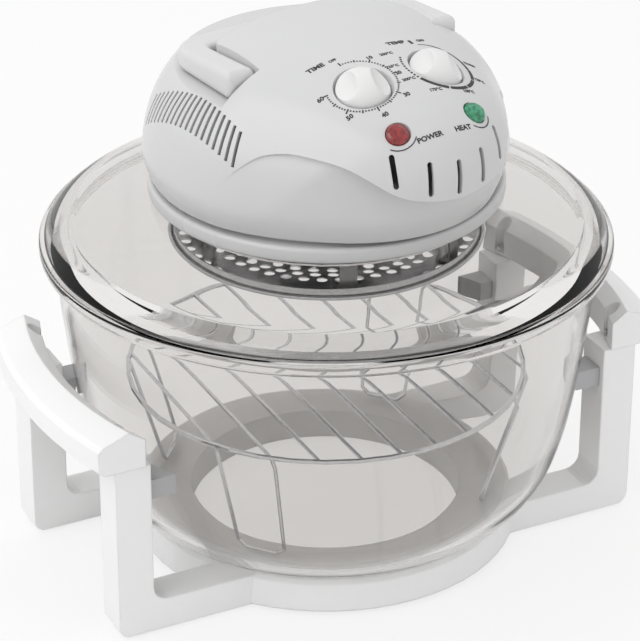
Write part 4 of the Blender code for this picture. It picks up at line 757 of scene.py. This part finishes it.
def bowl_profile():
    """Half of the bowl's section, from the middle of the inner floor to that of the underside."""
    rise = BOWL_RIM_Z - BOWL_BASE_Z
    floor = BOWL_BASE_Z + BOWL_WALL
    under = BOWL_RIM_Z - BOWL_FLANGE
    outer = [(BOWL_MOUTH_RADIUS * out, BOWL_BASE_Z + rise * up) for out, up in BOWL_WALL_SHARES]
    inner = []
    for radius, height in reversed(outer):
        climb = (height - BOWL_BASE_Z) / rise
        lift = BOWL_HEEL_RISE * max(0.0, 1 - climb / BOWL_HEEL_SHARE)
        inner.append((radius - BOWL_SIDE_WALL, height + lift))
    mouth = BOWL_MOUTH_RADIUS - BOWL_WALL
    edge = BOWL_RIM_ROUND
    lip = BOWL_RIM_RADIUS - edge
    heel = (BOWL_FLOOR_RADIUS - BOWL_WALL / 2, floor)
    profile = [(0, floor)]
    profile += smooth([heel, *inner, (mouth, BOWL_RIM_Z - edge)], BOWL_SPANS)
    profile += fillet((mouth + edge, BOWL_RIM_Z - edge), edge, 180, 90)[1:]
    profile += fillet((lip, BOWL_RIM_Z - edge), edge, 90, 0)
    profile += fillet((lip, under + edge), edge, 0, -90)
    profile += fillet((BOWL_MOUTH_RADIUS + edge, under - edge), edge, 90, 180)
    profile += smooth([*outer, (BOWL_FLOOR_RADIUS, BOWL_BASE_Z)], BOWL_SPANS)[1:]
    profile.append((0, BOWL_BASE_Z))
    return profile


def on_bowl_floor(first, second):
    """The flat underside of the bowl is stippled, and the rest is clear."""
    low = max(first[1], second[1]) < BOWL_BASE_Z + STIPPLE_RISE
    return int(low and max(first[0], second[0]) < BOWL_FLOOR_RADIUS + STIPPLE_MARGIN)


def lid_profile():
    """The lid's whole section: its dome, its hole, and the lip that drops into the bowl."""
    shoulder = LID_BASE_Z + LID_SHOULDER
    rise = LID_CROWN_Z - shoulder
    span = LID_RADIUS - LID_HOLE_RADIUS
    dome = [(LID_RADIUS - span * inward, shoulder + rise * up) for inward, up in LID_DOME_SHARES]
    skin = smooth([(LID_RADIUS, shoulder - LID_SHOULDER / 2), *dome], LID_SPANS)
    profile = [(LID_RADIUS, LID_BASE_Z), *skin]
    inner = [
        (radius, height - LID_GLASS_WALL)
        for radius, height in reversed(skin)
        if radius < LID_LIP_INNER - LID_LIP_CLEAR
    ]
    profile += inner
    profile += [
        (LID_LIP_INNER, inner[-1][1] - LID_LIP_STEP),
        (LID_LIP_INNER, LID_BASE_Z - LID_LIP_DROP),
        (LID_LIP_OUTER, LID_BASE_Z - LID_LIP_DROP),
        (LID_LIP_OUTER, LID_BASE_Z),
    ]
    return profile


def add_glass():
    """The bowl and the lid."""
    bowl = mesh_of(revolve(bowl_profile(), GLASS_STEPS, surface_of=on_bowl_floor))
    add_piece("pressed_bowl", bowl, [BOWL_GLASS, FLOOR_GLASS], "bowl", ["glass_bowl"], GLASS_ANGLE)
    lid = mesh_of(revolve(lid_profile(), GLASS_STEPS, closed=True))
    add_piece("pressed_lid", lid, [LID_GLASS], "lid", ["glass_lid"], GLASS_ANGLE)


def between(low, high, share):
    return low + (high - low) * share


EDGE_RUN = smooth(VISOR_EDGE_SHARES, VISOR_EDGE_SPANS)


def nose_share(angle):
    """1 on the middle of the visor, easing to 0 where the nose meets the round body."""
    if abs(angle) >= NOSE_SPAN:
        return 0.0
    return math.cos(angle / NOSE_SPAN * math.pi / 2) ** 2


def visor_edge(angle):
    """The height at which the visor ends over the cheek and chin, smooth through its table."""
    share = min(abs(angle) / CHEEK_SPAN, 1.0)
    climb = EDGE_RUN[-1][1]
    for (start, low), (end, high) in zip(EDGE_RUN, EDGE_RUN[1:]):
        if share <= end:
            climb = between(low, high, (share - start) / (end - start))
            break
    return HEAD_BASE_Z + (HEAD_TOP - HEAD_BASE_Z) * climb


def superellipse(angle, inset):
    """Reach, foot and both powers of the head's section at an angle from the front."""
    share = nose_share(angle)
    reach = between(HEAD_RADIUS, NOSE_REACH, share) - inset
    base = HEAD_BASE_Z + NOSE_RISE * share
    first = between(SIDE_POWERS[0], NOSE_POWERS[0], share)
    second = between(SIDE_POWERS[1], NOSE_POWERS[1], share)
    return reach, base, first, second


def body_radius(angle, height, inset=0.0):
    """How far the round body and its visor reach at a height."""
    reach, base, first, second = superellipse(angle, inset)
    climb = min(max((height - base) / (HEAD_TOP - inset - base), 0.0), 1.0)
    return reach * (1 - climb**second) ** (1 / first)


def roof_at(x, y):
    """The height of the head's roof over a place in plan."""
    reach, base, first, second = superellipse(math.atan2(-x, -y), 0.0)
    out = min(math.hypot(x, y) / reach, 1.0)
    return base + (HEAD_TOP - base) * (1 - out**first) ** (1 / second)


def skirt_radius(angle, height, inset):
    """Below the visor's edge: cheek, chin and skirt, which all draw in towards the base."""
    chin = between(HEAD_RADIUS, CHIN_REACH, nose_share(angle)) - inset
    fade = min((1 - min(abs(angle) / CHEEK_SPAN, 1.0)) / CHEEK_FADE_SHARE, 1.0)
    step = CHEEK_STEP * fade**2 * (3 - 2 * fade)
    low = max(0.0, 1 - (height - HEAD_BASE_Z) / SKIRT_HEIGHT)
    return min(chin, body_radius(angle, height, inset)) - step - SKIRT_TUCK * min(low, 1.0) ** 2


def meridian(angle, inset, base, roof_rows):
    """Radius and height down the head's skin at an angle: roof, visor's edge, cheek and skirt."""
    reach, low, first, second = superellipse(angle, inset)
    top = HEAD_TOP - inset
    edge = max(visor_edge(angle) + inset, low)
    last = math.acos(((edge - low) / (top - low)) ** (second / 2))
    rows = []
    for index in range(1, roof_rows + 1):
        turn = last * index / roof_rows
        height = low + (top - low) * math.cos(turn) ** (2 / second)
        rows.append((reach * math.sin(turn) ** (2 / first), height))
    start = edge - CHEEK_LIP
    for index in range(CHIN_ROWS + 1):
        height = start + (base - start) * index / CHIN_ROWS
        rows.append((skirt_radius(angle, height, inset), height))
    return rows


def head_solid(inset, base, columns, roof_rows):
    """The closed solid inside the head's skin, at an inset from it, down to the base."""
    bm = bmesh.new()
    crown = bm.verts.new((0, 0, HEAD_TOP - inset))
    rows = []
    for index in range(columns):
        angle = 2 * math.pi * index / columns - math.pi
        rows.append([
            bm.verts.new((-radius * math.sin(angle), -radius * math.cos(angle), height))
            for radius, height in meridian(angle, inset, base, roof_rows)
        ])
    for first, second in zip(rows, rows[1:] + rows[:1]):
        bm.faces.new((crown, first[0], second[0]))
        for index in range(len(first) - 1):
            bm.faces.new((first[index], first[index + 1], second[index + 1], second[index]))
    bmesh.ops.triangulate(bm, faces=bm.faces)
    bm.faces.new([row[-1] for row in rows])
    return bm


def add_prism(bm, near, far):
    """Adds a closed prism between two rings of points."""
    near, far = [[bm.verts.new(point) for point in ring] for ring in (near, far)]
    bm.faces.new(near)
    bm.faces.new(far)
    for index in range(len(near)):
        follower = (index + 1) % len(near)
        bm.faces.new((near[index], near[follower], far[follower], far[index]))


def slab(outline, low, high):
    """A prism over an outline in plan."""
    bm = bmesh.new()
    add_prism(bm, *[[(x, y, height) for x, y in outline] for height in (low, high)])
    return bm


def recess_solid(grow):
    """The space round the raised block that the carry handle folds into."""
    inner = HANDLE_INNER_X - HANDLE_SIDE_GAP - grow
    front = HANDLE_PIVOT_Y - HANDLE_HEIGHT / 2 - HANDLE_END_GAP - grow
    far = NOSE_REACH
    back = HANDLE_BLOCK_Y - grow
    outline = [(inner, front), (far, front), (far, far)]
    outline += [(-x, y) for x, y in reversed(outline)]
    corner = HANDLE_INNER_CORNER
    outline += fillet((corner - inner, back - corner), corner, 180, 90, 6)
    outline += fillet((inner - corner, back - corner), corner, 90, 0, 6)
    return slab(outline, HANDLE_FLOOR_Z - grow, HEAD_TOP + OVERRUN)


def skin_point(x, height):
    """The place on the front of the visor at a distance from its middle and a height."""
    near, far = 0.0, NOSE_REACH
    for _ in range(SKIN_TRIES):
        reach = (near + far) / 2
        if math.hypot(x, reach) < body_radius(math.atan2(-x, reach), height):
            near = reach
        else:
            far = reach
    return Vector((x, -near, height))


def groove_solid():
    """Five upright slits with rounded ends across the front of the visor."""
    bm = bmesh.new()
    for index in range(GROOVE_COUNT):
        step = index - (GROOVE_COUNT - 1) / 2
        x = step * GROOVE_PITCH
        height = GROOVE_Z + GROOVE_CLIMB * step**2
        half = GROOVE_LENGTH / 2
        low = skin_point(x - GROOVE_LEAN / 2, height - half)
        high = skin_point(x + GROOVE_LEAN, height + half)
        up = (high - low).normalized()
        right = skin_point(x + GROOVE_SAMPLE, height)
        across = (right - skin_point(x - GROOVE_SAMPLE, height)).normalized()
        inward = up.cross(across).normalized()
        axes = Matrix((inward.cross(up), inward, up)).transposed()
        place = Matrix.Translation((low + high) / 2) @ axes.to_4x4()
        straight = half - GROOVE_RADIUS
        outline = fillet((0, straight), GROOVE_RADIUS, 0, 180, 8)
        outline += fillet((0, -straight), GROOVE_RADIUS, 180, 360, 8)
        depths = (-GROOVE_OUTSIDE, GROOVE_DEPTH)
        add_prism(bm, *[[place @ Vector((u, depth, v)) for u, v in outline] for depth in depths])
    return bm


def vent_solid():
    """The vent slots of both sides, each along its meridian and square to the skin."""
    bm = bmesh.new()
    for side in (-1, 1):
        for index in range(VENT_COUNT):
            angle = side * between(VENT_FIRST, VENT_LAST, index / (VENT_COUNT - 1))
            fall = ((abs(angle) - VENT_CREST) / VENT_DROP_SPAN) ** 2
            height = VENT_Z - VENT_DROP * fall
            made = bmesh.ops.create_cube(bm, size=1.0)["verts"]
            bmesh.ops.scale(bm, vec=(VENT_DEPTH * 2, VENT_WIDTH, VENT_LENGTH), verts=made)
            radius = body_radius(angle, height)
            lean = math.atan2(radius - body_radius(angle, height + VENT_SAMPLE), VENT_SAMPLE)
            spin = Matrix.Rotation(-math.pi / 2 - angle, 4, "Z")
            place = Matrix.Translation((radius, 0, height)) @ Matrix.Rotation(-lean, 4, "Y")
            bmesh.ops.transform(bm, matrix=spin @ place, verts=made)
    return bm


def dial_matrix(side):
    """A dial's own frame on the roof: -1 is the timer's and 1 the thermostat's."""
    x = side * DIAL_X
    place = Matrix.Translation((x, DIAL_Y, roof_at(x, DIAL_Y)))
    return place @ Matrix.Rotation(side * DIAL_LEAN, 4, "Y") @ Matrix.Rotation(DIAL_TILT, 4, "X")


def lamp_matrix(side):
    """A lamp's own frame on the roof: -1 is the power lamp's and 1 the heat lamp's."""
    x = side * LAMP_X
    place = Matrix.Translation((x, LAMP_Y, roof_at(x, LAMP_Y)))
    return place @ Matrix.Rotation(LAMP_TILT, 4, "X")


def dish_solid(grow):
    """The space of a dial's dish, from above the skin down to its rounded floor."""
    slope = (DISH_RADIUS - DISH_FLOOR_RADIUS) / DISH_DEPTH
    floor = -DISH_DEPTH - grow
    corner = DISH_ROUND
    foot = DISH_FLOOR_RADIUS + grow - corner
    mouth = DISH_RADIUS + slope * DISH_ABOVE + grow
    profile = [(0, DISH_ABOVE), (mouth, DISH_ABOVE)]
    profile += fillet((foot, floor + corner), corner, 0, -90, 4)
    profile.append((0, floor))
    return revolve(profile, DISH_STEPS)


def pivot_matrix(side):
    """The frame of the handle's pins, with its Z out to one side."""
    place = Matrix.Translation((0, HANDLE_PIVOT_Y, HANDLE_PIVOT_Z))
    return place @ Matrix.Rotation(side * math.pi / 2, 4, "Y")


def post(radius, low, high):
    """A plain round bar, upright on the axis."""
    return revolve([(0, high), (radius, high), (radius, low), (0, low)], POST_STEPS)


def make_housing():
    """The moulded head with its visor, slits, vents, dial dishes and the recess of the handle."""
    housing = link_mesh("housing", head_solid(0.0, HEAD_BASE_Z, HEAD_COLUMNS, ROOF_ROWS))
    hollow = head_solid(HEAD_WALL, HEAD_BASE_Z - OVERRUN, CAVITY_COLUMNS, CAVITY_ROWS)
    cavity = link_mesh("cavity", hollow)
    vents = link_mesh("vents", vent_solid())
    grooves = link_mesh("grooves", groove_solid())
    recess = link_mesh("recess", recess_solid(0.0))
    recess_skin = link_mesh("recess_skin", recess_solid(HEAD_WALL))
    dishes, dish_skins, holes = [], [], []
    for side in (-1, 1):
        dial = dial_matrix(side)
        dishes.append(link_mesh("dish", dish_solid(0.0), dial))
        dish_skins.append(link_mesh("dish_skin", dish_solid(HEAD_WALL), dial))
        spindle = post(SPINDLE_HOLE, -DISH_DEPTH - HEAD_WALL - OVERRUN, -DISH_DEPTH + OVERRUN)
        holes.append(link_mesh("spindle_hole", spindle, dial))
        lens = post(LENS_RADIUS + FIT, -LENS_HOLE_REACH, LENS_HOLE_REACH)
        holes.append(link_mesh("lens_hole", lens, lamp_matrix(side)))
    plunger = post(PLUNGER_HOLE, HANDLE_FLOOR_Z - HEAD_WALL - OVERRUN, HANDLE_FLOOR_Z + OVERRUN)
    place = Matrix.Translation((SWITCH_X, HANDLE_BAR_Y + HANDLE_BAR / 2, 0))
    holes.append(link_mesh("plunger_hole", plunger, place))
    gland = post(GLAND_HOLE, HEAD_RADIUS - GLAND_HOLE_LENGTH, HEAD_RADIUS + OVERRUN)
    back = Matrix.Translation((0, 0, GLAND_Z)) @ Matrix.Rotation(-math.pi / 2, 4, "X")
    holes.append(link_mesh("gland_hole", gland, back))
    pins = post(PIN_RADIUS + FIT, -HANDLE_INNER_X - OVERRUN, HANDLE_INNER_X + OVERRUN)
    holes.append(link_mesh("pin_holes", pins, pivot_matrix(1)))
    carve(cavity, recess_skin, *dish_skins)
    carve(housing, grooves, vents, recess, *dishes, cavity, *holes)
    helpers = [cavity, vents, grooves, recess, recess_skin, *dishes, *dish_skins, *holes]
    mesh = settled(housing, *helpers)
    mesh.transform(LID_TURN)
    nodes = ["head_housing"]
    return add_piece("moulded_head", mesh, [HEAD_SHADED_WHITE], "lid", nodes, MOULDED_ANGLE, weighted=True)


def make_disc():
    """The disc under the head, with its rolled edge and the neck that the head sits on."""
    top = HEAD_BASE_Z - CREVICE
    edge = DISC_ROUND
    floor = DISC_LOW + DISC_SHEET
    profile = [
        (SHAFT_HOLE, HEAD_BASE_Z),
        (MOTOR_RADIUS, HEAD_BASE_Z),
        (MOTOR_RADIUS + DISC_SHEET, floor),
        (DISC_PAN_RADIUS - DISC_SHEET, floor),
        (DISC_PAN_RADIUS, HEAD_BASE_Z + NECK_SPIGOT),
        (DISC_SEAT_RADIUS, HEAD_BASE_Z + NECK_SPIGOT),
        (DISC_SEAT_RADIUS, HEAD_BASE_Z + FIT),
        (DISC_NECK_RADIUS, HEAD_BASE_Z + FIT),
        (DISC_NECK_RADIUS, top),
    ]
    profile += fillet((DISC_RADIUS - edge, top - edge), edge, 90, 0, 6)
    profile += fillet((DISC_RADIUS - edge, DISC_LOW + edge), edge, 0, -90, 6)
    profile.append((SHAFT_HOLE, DISC_LOW))
    mesh = mesh_of(revolve(profile, GLASS_STEPS, closed=True))
    add_piece("turned_disc", mesh, [DISC_SHADED_WHITE], "lid", ["head_disc"], MOULDED_ANGLE)


def make_knob(name, side, body, node):
    """A domed knob with a scoop out of each flank, softened as moulded plastic is."""
    low = -DISH_DEPTH + FIT
    rise = KNOB_HEIGHT - KNOB_EDGE
    profile = [(0, low + KNOB_HEIGHT)]
    for index in range(1, KNOB_ROWS):
        turn = math.pi / 2 * index / KNOB_ROWS
        profile.append((KNOB_RADIUS * math.sin(turn), low + KNOB_EDGE + rise * math.cos(turn)))
    profile += [(KNOB_RADIUS, low + KNOB_EDGE), (KNOB_RADIUS, low), (0, low)]
    knob = link_mesh(name, revolve(profile, KNOB_STEPS))
    bm = bmesh.new()
    scoop_x, scoop_y, scoop_z = KNOB_SCOOP
    for flank in (-1, 1):
        rows = KNOB_STEPS // 2
        ball = bmesh.ops.create_uvsphere(bm, u_segments=KNOB_STEPS, v_segments=rows, radius=1.0)
        made = ball["verts"]
        bmesh.ops.scale(bm, vec=(scoop_x, scoop_y, scoop_z), verts=made)
        x = flank * (KNOB_BAR_HALF_WIDTH + scoop_x)
        bmesh.ops.translate(bm, vec=(x, 0, low + KNOB_EDGE + scoop_z), verts=made)
    bmesh.ops.rotate(bm, matrix=Matrix.Rotation(KNOB_TURN, 3, "Z"), verts=bm.verts)
    scoops = link_mesh("scoops", bm)
    carve(knob, scoops)
    modify(knob, "REMESH", mode="VOXEL", voxel_size=KNOB_VOXEL)
    modify(knob, "SMOOTH", factor=0.5, iterations=4)
    mesh = settled(knob, scoops)
    mesh.transform(LID_TURN @ dial_matrix(side))
    add_piece(name, mesh, [KNOB_SHADED_WHITE], body, [node], SOFT_ANGLE)


def make_handle():
    """The U-shaped bail, soft at every edge."""
    radius = HANDLE_HEIGHT / 2
    inner = HANDLE_INNER_X
    outer = HANDLE_INNER_X + HANDLE_ARM
    near = HANDLE_BAR_Y
    far = HANDLE_BAR_Y + HANDLE_BAR
    front = HANDLE_PIVOT_Y - radius
    outline = [(outer, front)]
    outline += fillet((outer - HANDLE_CORNER, far - HANDLE_CORNER), HANDLE_CORNER, 0, 90, 20)
    outline += [(-x, y) for x, y in reversed(outline)]
    inside = [(-inner, front)]
    corner = HANDLE_INNER_CORNER
    inside += fillet((corner - inner, near - corner), corner, 180, 90, 10)
    outline += inside + [(-x, y) for x, y in reversed(inside)]
    bm = slab(outline, HANDLE_PIVOT_Z - radius, HANDLE_PIVOT_Z + radius)
    for vert in bm.verts:
        if vert.co.z > HANDLE_PIVOT_Z:
            vert.co.z -= HANDLE_FALL * (vert.co.y - front) / (far - front)
    handle = link_mesh("handle", bm)
    soften(handle, HANDLE_EDGE, 6, HANDLE_EDGE_ANGLE)
    reach = radius + OVERRUN
    wedge = [(-reach, -reach), (0, -reach)]
    wedge += fillet((0, 0), radius, 270, 90, 20)
    wedge += [(0, reach), (-reach, reach)]
    ends = slab(wedge, -outer - OVERRUN, outer + OVERRUN)
    # The outline's X becomes Y, its Y becomes Z, and its thickness runs along X.
    ends.transform(Matrix((
        (0, 0, 1, 0),
        (1, 0, 0, HANDLE_PIVOT_Y),
        (0, 1, 0, HANDLE_PIVOT_Z),
        (0, 0, 0, 1),
    )))
    ends = link_mesh("ends", ends)
    bores = []
    for side in (-1, 1):
        bore = post(PIN_RADIUS + FIT, inner - OVERRUN, PIN_END + FIT)
        bores.append(link_mesh("bore", bore, pivot_matrix(side)))
    carve(handle, ends, *bores)
    modify(handle, "REMESH", mode="VOXEL", voxel_size=HANDLE_VOXEL)
    modify(handle, "SMOOTH", factor=0.5, iterations=6)
    mesh = settled(handle, ends, *bores)
    mesh.transform(LID_TURN)
    add_piece("carry_bail", mesh, [HANDLE_SHADED_WHITE], "folding_handle", ["carry_handle"], SOFT_ANGLE)


def guard_sheet(reach):
    """The flat sheet with its rings of round holes."""
    curve = bpy.data.curves.new("guard", "CURVE")
    curve.dimensions = "2D"
    curve.fill_mode = "BOTH"
    curve.extrude = GUARD_SHEET / 2
    loops = [circle(0, 0, reach, GUARD_STEPS)]
    for radius, count in GUARD_ROWS:
        for x, y in circle(0, 0, radius, count):
            loops.append(circle(x, y, GUARD_HOLE_RADIUS, GUARD_HOLE_STEPS))
    for loop in loops:
        spline = curve.splines.new("POLY")
        spline.points.add(len(loop) - 1)
        for point, (x, y) in zip(spline.points, loop):
            point.co = (x, y, 0, 1)
        spline.use_cyclic_u = True
    sheet = link("guard", curve)
    sheet.location.z = GUARD_Z - GUARD_SINK
    return settled(sheet)


def make_guard():
    """The pressed guard: the sheet of holes, the pan wall round it and the rolled bead."""
    inner = GUARD_RADIUS - GUARD_BEAD
    low = GUARD_Z - GUARD_SINK
    high = low + GUARD_WALL
    wall = [
        (inner, low),
        (inner - GUARD_WALL_LEAN, high),
        (inner - GUARD_WALL_LEAN - GUARD_SHEET, high),
        (inner - GUARD_SHEET, low),
    ]
    middle = (GUARD_RADIUS - GUARD_BEAD / 2, GUARD_Z - GUARD_BEAD_DROP)
    bead = fillet(middle, GUARD_BEAD / 2, 0, 337.5, 15)
    meshes = [guard_sheet(inner + GUARD_LAP)]
    for profile in (wall, bead):
        meshes.append(mesh_of(revolve(profile, GUARD_STEPS, closed=True)))
    bm = bmesh.new()
    for mesh in meshes:
        bm.from_mesh(mesh)
        bpy.data.meshes.remove(mesh)
    whole = mesh_of(bm, LID_TURN)
    add_piece("perforated_guard", whole, [GUARD_METAL], "lid", ["guard_plate"], GUARD_ANGLE)


def ink_tree(housing):
    """The head's own skin, for laying ink on."""
    points = [vert.co for vert in housing.data.vertices]
    return BVHTree.FromPolygons(points, [polygon.vertices for polygon in housing.data.polygons])


class Print:
    """Ink drawn flat in a dial's or lamp's own frame and dropped on to the head's skin."""

    def __init__(self, frame_matrix, tree, centre=(0.0, 0.0)):
        self.bm = bmesh.new()
        self.place = LID_TURN @ frame_matrix
        self.tree = tree
        self.centre = Vector(centre)
        self.down = -self.place.to_3x3().col[2].normalized()

    def vert(self, point):
        """A point just over the skin, or nothing where the skin isn't there."""
        start = self.place @ Vector((point[0], point[1], PRINT_DROP))
        hit, normal, _, _ = self.tree.ray_cast(start, self.down)
        if hit is None:
            return None
        return self.bm.verts.new(hit + normal * PRINT_LIFT)

    def add(self, ring):
        """A face of ink, left out where a corner is off the skin."""
        if all(ring):
            self.bm.faces.new(ring)

    def clock(self, radius, angle):
        """A place on the ring: 12 o'clock is at the head's back, and angles run clockwise."""
        turn = math.radians(angle)
        return self.centre + Vector((radius * math.sin(turn), radius * math.cos(turn)))

    def arc(self, radius, start, end, width, end_width=None, steps=24):
        """From one clock angle to another, with a width that may grow."""
        last = width if end_width is None else end_width
        for index in range(steps):
            corners = []
            for share, side in ((index, -1), (index + 1, -1), (index + 1, 1), (index, 1)):
                reach = radius + side * between(width, last, share / steps) / 2
                corners.append(self.clock(reach, between(start, end, share / steps)))
            self.add([self.vert(corner) for corner in corners])

    def tick(self, angle, inner, outer, width):
        """A short bar across the ring, between two radii."""
        start, end = self.clock(inner, angle), self.clock(outer, angle)
        side = Vector((end.y - start.y, start.x - end.x)).normalized() * width / 2
        corners = start - side, end - side, end + side, start + side
        self.add([self.vert(corner) for corner in corners])

    def text(self, words, place, size, stretch=1.0):
        """Words as thin mesh letters, laid on the skin."""
        curve = bpy.data.curves.new("letters", "FONT")
        curve.body = words
        curve.size = size
        curve.align_x = "CENTER"
        curve.align_y = "CENTER"
        curve.resolution_u = 3
        curve.offset = size * LETTER_WEIGHT
        mesh = settled(link("letters", curve))
        x, y = place
        made = [self.vert((x + vert.co.x * stretch, y + vert.co.y)) for vert in mesh.vertices]
        for polygon in mesh.polygons:
            self.add([made[index] for index in polygon.vertices])
        bpy.data.meshes.remove(mesh)

    def finish(self, name):
        """The ink as one thin piece that rides with the lid."""
        mesh = bpy.data.meshes.new(name)
        self.bm.to_mesh(mesh)
        self.bm.free()
        mesh.materials.append(INK)
        piece = link(name, mesh)
        modify(piece, "SOLIDIFY", thickness=PRINT_THICKNESS, offset=0)
        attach(piece, "lid")


def print_timer(tree):
    """A ring of minute ticks with longer ones, the minutes and the words."""
    ink = Print(dial_matrix(-1), tree, TIME_RING_CENTRE)
    inner, outer = TIME_RING - TIME_TICK_HALF, TIME_RING + TIME_TICK_HALF
    for index in range(TIME_MINUTES + 1):
        ink.tick(TIME_SPAN * index / TIME_MINUTES, inner, outer, TIME_TICK_WIDTH)
    inner = TIME_RING - TIME_LONG_INNER
    for index in range(TIME_LONG_STEPS + 1):
        outer = TIME_RING + TIME_LONG_OUTER[index % 2]
        ink.tick(TIME_SPAN * index / TIME_LONG_STEPS, inner, outer, TIME_LONG_WIDTH)
    ink.text(*TIME_OFF)
    for words, place in TIME_WORDS:
        ink.text(words, place, TIME_WORD_SIZE)
    ink.text(*TIME_TITLE, TITLE_STRETCH)
    ink.finish("timer_print")


def print_thermostat(tree):
    """A ring that swells into thick segments and ends in dots, the degrees and the words."""
    ink = Print(dial_matrix(1), tree, TEMP_RING_CENTRE)
    for start, end, width, end_width in TEMP_SWELL:
        ink.arc(TEMP_RING, start, end, width, end_width)
    for start, end in TEMP_SEGMENTS:
        ink.arc(TEMP_RING, start, end, TEMP_SEGMENT_WIDTH, steps=TEMP_SEGMENT_STEPS)
    for angle in TEMP_DOTS:
        ink.tick(angle, TEMP_RING - TEMP_DOT_HALF, TEMP_RING + TEMP_DOT_HALF, TEMP_DOT_WIDTH)
    for words, place in TEMP_WORDS:
        ink.text(words, place, TEMP_WORD_SIZE, LETTER_STRETCH)
    ink.text(*TEMP_TITLE, TITLE_STRETCH)
    ink.text(*TEMP_OFF, LETTER_STRETCH)
    angle, inner, outer, width = TEMP_MARK
    ink.tick(angle, TEMP_RING + inner, TEMP_RING + outer, width)
    ink.finish("thermostat_print")


def print_lamps(tree):
    """Each lamp's word, and the arc that leads to it."""
    for side, words, place, start, end in LAMP_WORDS:
        ink = Print(lamp_matrix(side), tree)
        ink.arc(LAMP_RING, start, end, LAMP_ARC_WIDTH)
        ink.text(words, place, LAMP_WORD_SIZE, LETTER_STRETCH)
        ink.finish(words.lower() + "_print")


paint_nodes()
round_grips()
place_camera()
light_scene()
make_floor()
add_glass()
head = make_housing()
make_disc()
make_knob("timer_cap", -1, "timer_dial", "timer_knob")
make_knob("thermostat_cap", 1, "thermostat_dial", "thermostat_knob")
make_handle()
make_guard()
skin = ink_tree(head)
print_timer(skin)
print_thermostat(skin)
print_lamps(skin)
bpy.context.scene.view_settings.view_transform = "Standard"
